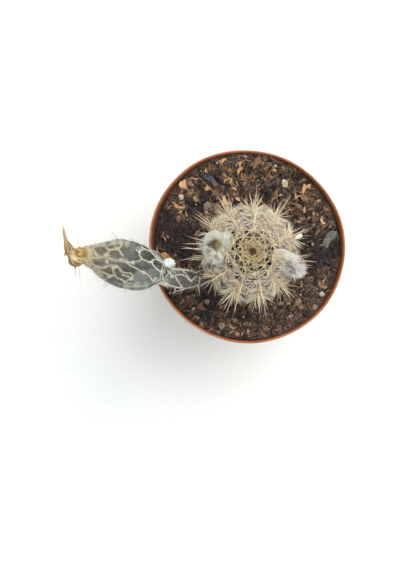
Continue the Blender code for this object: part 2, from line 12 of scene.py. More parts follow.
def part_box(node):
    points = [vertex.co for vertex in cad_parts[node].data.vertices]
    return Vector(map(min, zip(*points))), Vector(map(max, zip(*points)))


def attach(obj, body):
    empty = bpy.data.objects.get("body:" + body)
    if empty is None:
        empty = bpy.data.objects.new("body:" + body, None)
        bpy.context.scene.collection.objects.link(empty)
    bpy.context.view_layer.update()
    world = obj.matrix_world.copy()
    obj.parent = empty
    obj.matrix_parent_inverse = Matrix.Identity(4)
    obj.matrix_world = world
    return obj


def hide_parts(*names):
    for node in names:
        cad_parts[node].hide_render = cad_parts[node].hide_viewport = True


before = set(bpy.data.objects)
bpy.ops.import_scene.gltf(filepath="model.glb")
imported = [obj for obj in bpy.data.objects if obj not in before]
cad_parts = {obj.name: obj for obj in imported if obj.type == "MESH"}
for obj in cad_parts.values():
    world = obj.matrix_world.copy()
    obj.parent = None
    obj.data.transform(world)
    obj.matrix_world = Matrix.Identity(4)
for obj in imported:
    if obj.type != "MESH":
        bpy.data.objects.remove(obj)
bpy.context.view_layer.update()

# The looks of a small potted flower-of-prayer cactus: the plastic pot, its potting mix, the ribbed stem
# with its wool and spines, two woolly buds, and the netted seed pod that ends in its dried flower.
# Metres, +Z up. An azimuth is counted from +X towards +Y.

MM = 0.001
UP = Vector((0, 0, 1))
TURN = 2 * pi

# The photograph: its size in pixels, and the camera above the pot that took it. Every pixel given here is one
# of this photograph. A round spot in it is (x, y, radius) in pixels.
PHOTO_WIDTH = 400
PHOTO_HEIGHT = 570
CAMERA_PLACE = Vector((-13.3 * MM, -10.9 * MM, 249 * MM))
CAMERA_LENS = 44.79
SENSOR_LENGTH = 36

# Pot
RIM_RADIUS = 27.5 * MM
POT_HEIGHT = 49 * MM
RIM_WIDTH = 0.62 * MM
LIP_HEIGHT = 1.6 * MM
LIP_PROUD = 0.3 * MM
COLLAR_HEIGHT = 7.5 * MM
COLLAR_DRAFT = 0.6 * MM
COLLAR_STEP = 1.3 * MM
WALL = 0.9 * MM
FOOT_RADIUS = 18.5 * MM
FOOT_FILLET = 0.8 * MM
FLOOR = 1.1 * MM
LEDGE_HEIGHT = POT_HEIGHT - COLLAR_HEIGHT - 0.9 * MM
POT_STEPS = 192
DRAIN_HOLES = 5
DRAIN_RADIUS = 1.9 * MM
DRAIN_CIRCLE = 12.5 * MM
SQUEEZE = 0.015
SQUEEZE_AZIMUTH = radians(150)
# The heights in mm between which painted shade darkens the inner wall downwards
RIM_SHADE = (45.6, 48.3)

# Potting mix: how deep it lies under the rim at the four sides, from +X towards +Y, and in the middle
SEAT_GAP = 0.35 * MM
SOIL_DEPTHS = (2.5 * MM, 0.9 * MM, 6 * MM, 1.5 * MM)
SOIL_MIDDLE = 3.8 * MM
SOIL_LUMP = 0.7 * MM
SOIL_SIDES = 400
SOIL_SURFACE_RINGS = 66
ROOT_FIBRES = 1300
# Nearly black places in the soil: damp soil, and painted shadow round the stem and along the pot's wall
DAMP_AND_SHADOW_PLACES = (
    (168, 236, 17), (178, 233, 13), (189, 230, 9), (184, 248, 13), (188, 257, 8), (168, 219, 10),
    (171, 248, 9), (214, 177, 10), (205, 193, 10), (202, 206, 8), (234, 204, 8), (266, 194, 9),
    (296, 177, 8), (310, 181, 7), (320, 254, 15), (310, 264, 13), (304, 242, 10), (333, 250, 10),
    (300, 272, 8), (316, 236, 9), (208, 300, 13), (205, 312, 10), (242, 315, 9), (190, 205, 7),
)

# Stem
STEM_AXIS = Vector((0.1 * MM, -2.4 * MM, 0))
STEM_RADIUS = 11.5 * MM
DOME_CENTRE = POT_HEIGHT + 8.5 * MM
STEM_TAPER = 0.1
BURIED_TOP = 42 * MM
ROOT_TIP = 33 * MM
APEX_DIP = 0.9 * MM
APEX_DIP_WIDTH = 2.2 * MM
RIB_AZIMUTHS = (22, 56, 88, 120, 150, 182, 214, 247, 280, 312, 345)
RIB_DEPTH = 1.7 * MM
RIB_START = 4.2 * MM
RIB_END = 50 * MM
RIB_ROUNDNESS = 0.69
TUBERCLE = 0.5 * MM
TUBERCLE_LENGTH = 0.95 * MM
STEM_STEPS_PER_RIB = 16
STEM_SHOWN_RINGS = 130
ROOT_RINGS = 8
QUARTER = STEM_RADIUS * pi / 2
SHOWN_LENGTH = QUARTER + DOME_CENTRE - BURIED_TOP
# Pockets of painted shadow between the spines round the stem's tip, where the skin is painted nearly black
SEEN_SHADOW_POCKETS = (
    (236, 248.5, 4.2), (241.5, 248, 3.2), (271, 248, 2.2), (264.5, 248.5, 2), (262.5, 257.5, 2.8),
    (265.5, 258.5, 3.2), (269.5, 262, 3.6), (235, 261.5, 3.6), (232, 265, 3.6), (244, 258.5, 2.6),
    (245.5, 266, 4), (242, 271.5, 3.6), (253.5, 265.5, 2.2), (254, 271, 3), (260.8, 269.5, 2.8),
    (264.5, 272, 3), (249.5, 237, 1.6), (257, 238, 1.4), (237.5, 241.5, 3), (242, 239.5, 2),
    (238, 276, 3.4), (260, 261.5, 2.8), (237.5, 280.5, 2.6), (254, 281, 3.4), (247, 231, 1.8),
    (233, 233.5, 2), (229, 265.5, 2.6), (267, 266, 2.2),
)

# Areoles: how far the first of each rib lies from the stem's tip, and the steps between them
FIRST_AREOLE = (1.4 * MM, 2.5 * MM)
AREOLE_STEPS = (1.7 * MM, 2.2 * MM, 2.7 * MM, 2.9 * MM)
LAST_AREOLE = 29 * MM
AREOLE_HAIRS = 54

# Spines: how far off the other pieces they keep, the bearings of a fan from straight down its rib in degrees,
# and how many hairs there are between the ribs and at the stem's tip
CLEARANCE = 0.05 * MM
RADIAL_BEARINGS = (22, 47, 70, 93, 124)
DOWN_HAIRS = 650
CROWN_HAIRS = 220
# Long spines that show: the pixel where each leaves the stem and that of its tip
SEEN_LONG_SPINES = (
    ((253.9, 231.8), (257, 183.5)), ((254.6, 234.6), (258.6, 188.5)), ((254.4, 211.9), (248.6, 190.4)),
    ((251.1, 210.5), (242.8, 197.1)), ((266.4, 232.7), (292.3, 193)), ((267.5, 230.4), (283.8, 196.7)),
    ((268.7, 231.8), (288.6, 199.9)), ((271, 243.4), (314.7, 226.3)), ((273.3, 242.2), (306.4, 224.6)),
    ((277.5, 239.2), (311.7, 229)), ((284.9, 237.8), (305.3, 235)), ((241, 232.7), (215.5, 192)),
    ((237.3, 222.1), (220.9, 193.9)), ((235.4, 220.7), (226.6, 190.9)), ((233.6, 219.3), (219.4, 191.8)),
    ((222.5, 234.6), (189.4, 213.8)), ((220.6, 231.8), (194.1, 208.5)), ((216.9, 229), (192.4, 211.5)),
    ((215.5, 223.9), (207, 211.5)), ((229.4, 271.1), (201.2, 286.2)), ((215.5, 276.2), (201.5, 276.9)),
    ((215.5, 280.8), (196.8, 297.9)), ((212.8, 282.2), (198.9, 292.4)), ((245.1, 276.7), (231.3, 320.8)),
    ((236.8, 286.4), (224, 318.8)), ((229.4, 289.2), (216, 306.9)), ((240.5, 282.7), (235, 303)),
    ((259.5, 273.4), (266.6, 321.5)), ((258.1, 292.9), (260.1, 317.1)), ((253.9, 293.8), (256.2, 311.4)),
    ((259.9, 289.2), (268.7, 311.4)), ((268.7, 269.3), (294.3, 304)), ((273.3, 274.4), (295.3, 299.1)),
    ((276.6, 278.1), (288.8, 292.4)), ((278.4, 281.8), (291.4, 299.3)), ((276.1, 282.7), (273.8, 299.3)),
)
# Spines that leave the stem's flank under a bud, and a reddish tuft of them: root and tip pixels
SEEN_LOW_SPINES = (
    ((206.5, 241.8), (186.7, 236.2)), ((206.5, 243.8), (180.4, 243.8)), ((206, 248.6), (178.3, 248.6)),
    ((206.3, 251.2), (179.4, 246.1)), ((206.5, 256), (176.7, 260.9)), ((207.9, 258.6), (186.9, 260.5)),
    ((298.5, 260.5), (318.2, 262)), ((294.8, 257.2), (311, 254.3)), ((298.5, 264.6), (313.1, 265.6)),
)
SEEN_RED_SPINES = (
    ((289.5, 240.1), (304.5, 244.9)), ((290.5, 241.5), (304.9, 250.1)), ((289.5, 243.4), (301.7, 253.5)),
    ((287.7, 239.2), (308, 238.1)), ((288.6, 241.1), (305.3, 248)), ((290, 244), (299.5, 254.5)),
)

# Seed pod: points on its middle line and the radius there in mm, from the stem outwards, as (x, y, z, radius)
POD_ROUTE = (
    (-7.8, -4.7, 46.2, 1.2), (-10.6, -6.3, 47.2, 1.25), (-13.1, -6.9, 48.6, 1.35), (-14.8, -7.05, 50.1, 2),
    (-16.8, -7, 51.3, 2.55), (-18.7, -6.8, 52.2, 2.75), (-21.2, -6.35, 53.3, 2.8), (-23.6, -5.4, 54.7, 3.1),
    (-26.2, -4.3, 56.4, 4.6), (-30, -3.8, 59.2, 6.05), (-34, -2.7, 62.4, 6.2), (-37.3, -2, 64.9, 5.1),
    (-39.8, -1.3, 66.8, 3.55), (-41.7, -1, 68.3, 2.6), (-42.6, -0.9, 69, 2.25),
)
POD_SIDES = 96
POD_RINGS = 170
CELL_BULGE = 0.42 * MM
CELL_EDGE = 1 * MM
NET_STEP = 0.35 * MM
# The net's hidden rows round the pod and the knots in each
NET_ROWS = 9
NET_COLUMNS = 16
DOWN_ON_POD = 2600
# The net's lines that show, each a radius in mm and its pixels
SEEN_NET = (
    (0.24, (86.5, 247.5), (88.3, 251), (89.8, 255), (91, 258), (91.6, 262), (93.5, 265.3), (96.5, 266.8)),
    (0.22, (92.8, 247), (94, 250.5), (96, 254), (99, 256.8)),
    (0.26, (91, 257.3), (95, 258), (100, 257.8), (104, 257), (106.3, 255.5)),
    (0.26, (96.5, 266.8), (99.5, 267.8), (102.7, 268), (106, 267), (110, 265.9), (113.5, 265.8)),
    (0.24, (97, 267.5), (99, 270.5), (103.5, 272.7), (106, 274.3), (109, 275.8), (112.5, 276),
     (114.7, 275.2)),
    (0.16, (105, 245.2), (107, 247.6), (109, 249.6), (108.8, 252.2), (107.5, 254)),
    (0.2, (109, 249.6), (112.5, 249), (116.5, 248.6)),
    (0.16, (116.5, 248.6), (119.5, 250.3), (121, 252.7), (123, 255.2)),
    (0.16, (116.5, 248.6), (119.8, 247), (121.5, 244), (122.3, 241.9)),
    (0.14, (108.5, 244.6), (113, 243.5), (118, 242.5), (122.3, 241.9)),
    (0.2, (106.8, 256), (110, 258.4), (114, 260), (119, 260.4), (124, 261.6), (128, 262.5), (132.7, 262.4)),
    (0.14, (119, 260.4), (122.3, 258.9), (126, 260.2), (129.5, 261.9)),
    (0.18, (106.8, 256), (106.4, 260), (106.8, 263.2)),
    (0.15, (113.8, 265.8), (117.5, 266.4), (119.8, 268.8), (121.5, 271.5), (123.5, 272.8), (127.5, 273.3),
     (131, 273.7), (132.6, 275.6), (132.5, 279.5)),
    (0.15, (121.8, 275.2), (125, 275.9), (128.5, 276.9), (131.5, 278.6)),
    (0.18, (113.8, 265.8), (113.3, 269.5), (113.5, 272), (114.7, 275.2)),
    (0.17, (114.7, 275.2), (116, 277.4), (119, 279), (122, 279.7), (124, 281.6), (125.6, 282.8)),
    (0.14, (125.6, 282.8), (125.9, 285), (125, 286.5)),
    (0.14, (125.6, 282.8), (128, 280.6), (131.5, 278.6)),
    (0.15, (119, 284.4), (125, 286.2), (131, 287), (137, 287), (143, 286.6), (148, 285.3), (153, 283.3),
     (157, 281.5), (160.5, 280)),
    (0.14, (129, 284), (132.5, 284.8), (135.8, 286)),
    (0.14, (132.7, 262.4), (136, 261.6), (139.5, 260.9), (142, 258.6)),
    (0.17, (136.5, 249), (139.4, 252), (140.1, 254.8), (141, 257.2), (143, 259.2), (147, 260.7),
     (149.8, 261.8), (152, 262)),
    (0.12, (138, 246.5), (141, 249.5), (144, 248.6)),
    (0.12, (139.4, 252), (141.8, 250), (144, 248.4)),
    (0.18, (140.8, 245.9), (142.3, 246.9), (144, 248.4), (147.5, 249.4), (150.5, 250.9), (153, 252.9),
     (155.7, 255.8), (158.2, 258.4), (160.5, 260.8), (163, 263.2), (165.2, 266.3)),
    (0.12, (150, 249.6), (153.5, 251.2), (156.5, 253.9), (159.5, 257), (162, 260), (163.6, 262.4)),
    (0.15, (152, 262), (152.7, 260.2), (154.5, 259.3), (157.7, 259.2), (160.5, 260.8)),
    (0.18, (152, 262), (153.2, 264.2), (155, 266.7), (157.2, 269), (159.7, 270.6), (161.7, 271.8)),
    (0.2, (161.7, 271.8), (162.6, 268.5), (163.4, 265.8), (163, 263.2)),
    (0.15, (161.7, 271.8), (160.9, 274.5), (160.5, 277), (160.8, 279.5)),
    (0.13, (126, 261.9), (130, 265), (134, 267), (137.5, 269), (140.5, 271), (143.3, 272.2)),
    (0.15, (143.3, 272.2), (146.3, 273.6), (149, 275.6), (151.2, 278.2), (152.2, 280.2), (153.6, 280.8)),
    (0.16, (153.6, 280.8), (155, 279), (156.7, 277.9)),
    (0.14, (153.6, 280.8), (157.5, 281.1), (160.5, 279.9)),
    (0.16, (165.2, 266.3), (167.3, 269.6), (169, 272.3), (170.6, 274.6), (172.3, 277.3)),
    (0.16, (172.3, 277.3), (174.3, 275.6), (177, 274.8), (180.3, 274.2), (184, 275.1), (186.5, 276.5),
     (188.8, 279), (191, 280.9)),
    (0.13, (166.5, 266.5), (171, 267.3), (176, 268.7), (180.5, 269.8), (184, 271.2), (186.5, 273.8),
     (188, 276.5), (189.5, 279), (191, 280.9)),
    (0.15, (191, 280.9), (193.2, 279.1), (195.5, 277), (197.7, 275.9)),
    (0.12, (168.9, 272.3), (168.2, 275), (166, 276.9)),
    (0.19, (163.3, 278), (163.6, 280.8), (164.6, 283.1), (167, 284.6), (169.6, 285.2)),
    (0.15, (161.7, 271.8), (163, 275), (163.3, 278)),
    (0.15, (175.5, 277), (177.5, 280), (179, 283), (180.5, 285.4), (182.3, 288)),
    (0.18, (199.3, 273), (200, 276), (200.2, 279), (199.8, 282), (198.5, 285), (195.5, 287.2),
     (191, 288.4), (186.5, 288.7), (182.3, 288.4), (177, 287.8), (172, 286.8), (167, 285.6), (163.5, 284)),
)
# The net's woolly knots, each a size in mm and a pixel
SEEN_KNOTS = (
    (1.15, (106.3, 255.5)), (0.7, (107, 262)), (1, (116.5, 248.7)), (1.15, (113.8, 266.5)),
    (0.8, (132.6, 262.4)), (0.9, (109.8, 275.9)), (0.6, (124.8, 282)), (0.7, (131.3, 279)),
    (0.8, (135.8, 286)), (0.9, (143.3, 272.2)), (0.8, (153.6, 280.8)), (0.6, (139.4, 252)),
    (0.6, (152, 262)), (0.7, (163, 264.5)), (0.5, (161.7, 271.8)), (0.5, (172.3, 277)),
    (0.55, (191, 280.9)), (0.5, (181, 286)), (0.8, (97, 266.8)),
)
# Where the pod's skin is paler, where darker, and where pale wool veils it
POD_PALE = (
    (142, 280, 12), (153, 273, 7), (133.5, 247, 5), (189, 285, 7), (170, 281, 7),
)
POD_DARK = (
    (150, 255, 8), (158, 265, 7), (98, 262, 8), (109, 271, 6), (118, 273, 6), (114, 262, 6), (187, 278, 7),
    (129, 267.5, 7),
)
POD_VEIL = (
    (113, 241, 6), (121, 242, 4.5), (103, 243, 4.5), (127, 243.5, 4), (95, 244.5, 4.5), (99, 243.8, 4.5),
    (100.5, 275.5, 3.2), (104, 280, 3), (95, 272, 3.2), (137, 285.5, 5), (127, 286, 5), (158, 281, 5),
    (163, 272, 4), (90, 265, 4), (94, 269, 4.5), (98, 272.5, 4), (172, 272, 4), (98, 267.5, 3.5),
    (165, 281, 4), (146, 285, 4),
)
# Bristles of the pod by their root and tip pixels, and pale hairs of its neck with a radius in mm too
SEEN_BRISTLES = (
    ((114.3, 239.4), (107.4, 225.9)), ((118.3, 240), (109.9, 228.9)), ((137, 246.2), (130.1, 236.8)),
    ((110.4, 283.2), (99.5, 291.2)), ((106.4, 281.2), (102, 287.2)), ((149.9, 285.2), (150.7, 291.6)),
    ((147.9, 249.6), (142, 243.2)), ((124.2, 242.2), (120.2, 236.8)),
)
SEEN_NECK_HAIRS = (
    ((166.5, 267.5), (183, 271), 0.2), ((171, 268.5), (198, 271.8), 0.16),
    ((194, 273.4), (206, 269.6), 0.19), ((178, 270.2), (195, 272.4), 0.17),
    ((168, 270), (172.5, 277.5), 0.2), ((190, 287.6), (170, 293.8), 0.22),
    ((184.5, 287.6), (179.5, 294.5), 0.15), ((164, 282.6), (170, 286), 0.24),
    ((160, 281.5), (168.8, 288.9), 0.22), ((157.5, 283), (166.5, 287.6), 0.18),
    ((197.8, 284.6), (199.7, 296.5), 0.17), ((188.8, 272.4), (186.8, 267.6), 0.13),
    ((192.3, 273), (190, 266.4), 0.13), ((163, 273), (166, 266), 0.18), ((173, 276.5), (169, 279.5), 0.14),
    ((168.5, 268), (178, 275), 0.16), ((171.5, 269), (181, 273.5), 0.16),
    ((184.5, 273), (190.2, 280), 0.13), ((162.5, 270), (158.5, 266), 0.16),
    ((176.5, 286.5), (172.3, 297), 0.11),
)

# Dried flower: its middle line as (x, y, height in mm, radius in pixels), from the pod to the strand's end
FLOWER_TUBE = (
    (88, 256.2, 67.9, 9.6), (85, 255.3, 68.6, 8.9), (81, 254.8, 69.5, 7.8), (77.8, 256.2, 70.1, 7.5),
    (75.4, 258.2, 70.6, 8.2), (72.8, 256, 70.9, 6.4), (70.2, 253.2, 71.2, 4.6), (67.3, 249.9, 71.8, 2.9),
    (65.6, 246, 72.5, 1.8), (65, 241.5, 73.4, 1.45), (64.9, 236.5, 74.2, 1.2), (64.2, 231.5, 75, 0.85),
    (63, 226.5, 75.8, 0.45), (62.5, 224.3, 76.2, 0.15),
)
FLOWER_SIDES = 72
FLOWER_RINGS = 90
# Folds over it, each a radius in mm and its pixels
SEEN_FOLDS = (
    (0.24, (69.5, 248.5), (72.5, 249.8), (75, 249.2), (77.5, 248), (81, 247), (84.5, 247.8), (87, 250.6),
     (89, 254.6), (91, 258)),
    (0.26, (66.5, 247.5), (69, 250.5), (72.5, 253.3), (76, 256.4), (80, 258.8), (85, 259.8), (91, 259.4)),
    (0.2, (67, 251.5), (70.5, 256), (73, 259.5), (77, 261.4), (82, 262.2), (90, 263)),
    (0.18, (74.8, 267), (78, 265.4), (83, 265.2), (89, 266)),
    (0.16, (68.5, 254.5), (71.5, 259.5), (73.5, 263.5), (74.8, 267)),
)
# Its opening as (pixel, half width, half height in pixels), the amber heart as (pixel, height, radius in mm)
FLOWER_OPENING = ((80.8, 252.8), 7.4, 6.2)
AMBER_HEART = ((80, 252.9), 69.75, 1.45)
# Loose threads through three pixels, with a radius in mm and a tint
FLOWER_WISPS = (
    ((57.5, 226.5), (60, 231.5), (64.9, 241), 0.07, 0),
    ((66.3, 250.5), (65.2, 253.5), (63.6, 257.5), 0.3, 0.7),
    ((66.8, 251.5), (66, 254), (65.2, 256.5), 0.26, 0.6),
    ((75, 267.5), (76.5, 275), (79.5, 279.5), 0.07, 0.8),
    ((78, 265.5), (79.8, 275), (80.3, 290), 0.07, 0.8),
    ((75.8, 267.4), (75, 272), (73.8, 276.3), 0.07, 0.8),
    ((79.7, 249.5), (78.5, 242), (77, 237.5), 0.06, 0.7),
    ((88, 247.5), (84, 242.5), (80.5, 240.5), 0.07, 0.7),
)

# Woolly buds. The left one has a dark pit and dimples. The right one is beige near the stem, with brown
# streaks on its top and tan wool at its end.
BUD_SIDES = 96
BUD_RINGS = 64
BUD_HAIR_RADIUS = 0.042 * MM
LEFT_BUD_PLACE = STEM_AXIS + Vector((-9.6 * MM, 1.2 * MM, 66.2 * MM))
LEFT_BUD_SIZE = Vector((2.3 * MM, 3.55 * MM, 3.2 * MM))
LEFT_BUD_HAIRS = 4800
LEFT_BUD_HOLLOWS = (
    (213.2, 244.6, 5.4), (217.4, 244.9, 5), (215.6, 241.6, 3.2), (216.4, 248.2, 3.8), (209.4, 245.2, 2.6),
)
LEFT_BUD_DIMPLES = (
    (209.4, 250.4, 2.4), (208.9, 254, 2.2), (216, 256.5, 2.6), (211.5, 260, 2.4), (223, 253, 2.6),
    (204.5, 241.5, 2.4),
)
RIGHT_BUD_PLACE = STEM_AXIS + Vector((8.8 * MM, -2.2 * MM, 65.2 * MM))
RIGHT_BUD_SIZE = Vector((4.7 * MM, 2.45 * MM, 2.5 * MM))
RIGHT_BUD_AZIMUTH = radians(-33)
RIGHT_BUD_RISE = radians(-14)
RIGHT_BUD_HAIRS = 6400
BUD_BEIGE = (
    (278, 258.5, 7.5), (273.5, 256.5, 4.5),
)
BUD_STREAKS = (
    (283.5, 261, 4), (287.5, 264, 5.5), (291, 268, 4.5),
)
BUD_TIP = (
    (303, 263, 6.5), (299, 259.5, 5),
)

# Lone things on the soil, each (x, y, length, width, thickness in mm, heading in degrees, tint)
SEEN_SHARDS = (
    (184.5, 185, 3.4, 1.9, 1.2, 100, 0.9), (226, 201, 3, 1.3, 0.7, 130, 1),
    (208.5, 187.5, 2.3, 1.1, 0.6, 125, 1), (178, 205.5, 3.2, 0.8, 0.5, 155, 1),
    (306, 189.5, 3.4, 1.3, 0.8, 38, 1), (309.8, 186.3, 2, 0.9, 0.6, 70, 1),
    (223, 162, 2.6, 0.8, 0.5, 60, 0.9), (240, 170.5, 2.8, 0.9, 0.5, 50, 0.85),
    (232, 182, 2.6, 0.8, 0.5, 120, 0.8), (241, 164, 2.2, 0.7, 0.5, 70, 0.9),
    (319.5, 231.5, 4.2, 0.9, 0.6, 36, 0.3), (323.5, 227.5, 2.8, 0.8, 0.5, 48, 0.35),
    (258, 165, 3.4, 2.4, 1, 10, 0.4), (322.3, 219.8, 1.9, 0.9, 0.6, 120, 1),
    (233, 196, 2.6, 0.9, 0.6, 70, 0.9), (238, 199, 2.2, 0.8, 0.6, 140, 0.95),
    (203, 306, 3, 1.6, 0.9, 110, 0.25), (190, 301, 2.4, 1.3, 0.8, 60, 0.2),
)
SEEN_GRIT = (
    (181.5, 197, 1.6, 1.3, 1.1, 70, 0.9), (285.2, 183.2, 2.3, 1.9, 1.2, 60, 0.85),
    (208, 206, 2.3, 1.9, 1.2, 20, 0.3), (322, 294, 1.5, 1.2, 0.9, 40, 0.8),
    (298.5, 301.5, 1.9, 1.5, 1, 50, 0.5), (315, 307, 1.6, 1.4, 1, 30, 0.4),
    (207.5, 301.5, 1.7, 1.3, 1, 60, 0.45), (222, 325, 2.1, 1.7, 1, 60, 0.45),
    (323.3, 223, 1.2, 0.9, 0.9, 0, 1), (275, 166.5, 1.2, 0.9, 0.8, 30, 0.95),
    (274.5, 171, 1.2, 0.8, 0.8, 30, 1), (312.5, 244.5, 0.8, 0.7, 0.6, 0, 1),
    (250, 335.5, 1, 0.8, 0.7, 0, 1), (288.5, 303, 1.1, 0.9, 0.7, 20, 0.7),
    (266, 181, 1.1, 0.7, 0.6, 120, 0.95), (281, 195, 0.9, 0.7, 0.6, 20, 0.9),
    (194.2, 308.8, 0.9, 0.8, 0.7, 20, 0.8), (250, 324, 0.9, 0.8, 0.7, 20, 0.7),
)
SEEN_ORANGE = (
    (165, 255.3, 1.9, 1.5, 1.2, 40, 1), (167.6, 256.4, 1.3, 1, 0.9, 20, 0.6),
    (162.8, 254.2, 1, 0.8, 0.7, 70, 0.8),
)
SEEN_DARK = (
    (208, 178, 3.2, 1.9, 0.9, 155, 0.1), (213.5, 182.5, 2.8, 1.5, 0.8, 130, 0.9),
    (205, 175.5, 2, 1.4, 0.8, 20, 0.2), (234, 161, 1.8, 1, 0.7, 10, 0.1),
    (316.5, 206, 2.2, 1.3, 0.7, 60, 0.1), (321, 262, 1.8, 1.2, 0.7, 70, 0.2),
)
SEEN_GREY_FLAKE = (
    (330, 238, 6, 2.3, 1.1, 52, 0.5), (327, 242, 3.2, 1.8, 1.1, 70, 0.75),
)
FLAKE_PIXEL = (298, 236.7)
# Lone root fibres through three pixels, each with a radius in mm
SEEN_FIBRES = (
    (0.3, (197.5, 176.5), (208, 186.5), (217, 196)), (0.2, (213, 192), (219, 198.5), (225, 205)),
    (0.12, (265.5, 181), (268, 189), (275, 192.5)), (0.12, (275, 192.5), (280, 196.5), (283, 195)),
    (0.2, (172, 203.5), (178, 207), (184, 208)), (0.14, (328, 263.5), (331.5, 265), (329.5, 269)),
    (0.14, (272.5, 166), (276, 171), (273.5, 176)), (0.14, (273, 167), (268, 175), (266, 180)),
)

# Finishes of crumbs: dark, middle and light colour, roughness and, for bark, how its grain is drawn out
CRUMB_FINISHES = (
    ("peat_crumb", (22, 18, 18), (54, 43, 38), (96, 78, 65), 0.8),
    ("bark_crumb", (32, 25, 23), (82, 62, 52), (160, 124, 95), 0.85),
    ("soft_lump", (46, 34, 29), (88, 68, 56), (140, 112, 90), 0.9),
    ("bark_shard", (60, 42, 34), (126, 91, 65), (212, 166, 120), 0.85, (0.4, 2, 1)),
    ("grit", (96, 80, 66), (140, 120, 97), (204, 188, 162), 0.7),
    ("perlite_grain", (180, 176, 168), (214, 212, 204), (240, 238, 232), 0.8),
    ("orange_crumb", (110, 72, 30), (172, 122, 58), (204, 156, 84), 0.75),
    ("dark_bark", (26, 27, 33), (42, 42, 48), (84, 76, 72), 0.5),
    ("grey_flake", (70, 70, 63), (106, 105, 95), (140, 138, 126), 0.5),
    ("knot_pad", (206, 208, 198), (214, 212, 190), (220, 212, 176), 0.9),
)
# Finishes of hairs, spines and wool: colour at the root and at the tip, stain, and roughness
FIBRE_FINISHES = (
    ("root_fibre", (138, 102, 72), (182, 144, 106), (84, 62, 50), 0.7),
    ("radial_spine", (226, 210, 170), (244, 235, 212), (204, 176, 124), 0.5),
    ("long_spine", (240, 226, 196), (230, 212, 184), (178, 146, 112), 0.45),
    ("crown_spine", (200, 175, 122), (230, 211, 164), (120, 80, 52), 0.6),
    ("areole_wool", (216, 200, 156), (240, 230, 200), (204, 178, 124), 0.85),
    ("bud_wool", (220, 218, 200), (250, 250, 240), (186, 174, 146), 0.8),
    ("right_bud_wool", (222, 219, 208), (251, 251, 246), (206, 184, 146), 0.8),
    ("bud_streak", (122, 110, 104), (172, 160, 150), (182, 156, 120), 0.8),
    ("knot_wool", (196, 197, 184), (234, 235, 226), (206, 198, 166), 0.85),
    ("pod_bristle", (228, 222, 206), (222, 212, 194), (92, 84, 74), 0.6),
    ("flower_thread", (214, 182, 130), (234, 208, 162), (146, 122, 80), 0.7),
)
# Finishes of dry petals: dark, middle and light colour, and the colour inside
PETAL_FINISHES = (
    ("dried_petal", (170, 140, 94), (216, 188, 142), (238, 219, 179), (134, 110, 60)),
    ("petal_edge", (178, 154, 114), (210, 188, 150), (228, 212, 178), (206, 182, 142)),
    ("amber_petal", (208, 162, 86), (242, 200, 114), (250, 222, 150), (150, 127, 70)),
    ("cream_flake", (200, 192, 166), (232, 227, 208), (246, 243, 230), (226, 220, 198)),
)
FINISHES = {}


def rgb(red, green, blue):
    """A colour given in screen values from 0 to 255, as the linear values that shaders take."""
    return tuple(((value / 255 + 0.055) / 1.055) ** 2.4 for value in (red, green, blue))


def direction(azimuth, rise=0.0):
    """The unit vector at this azimuth, raised above the level by this angle."""
    level = cos(rise)
    return Vector((level * cos(azimuth), level * sin(azimuth), sin(rise)))


def clamp(value):
    return max(0.0, min(1.0, value))


# Shader nodes


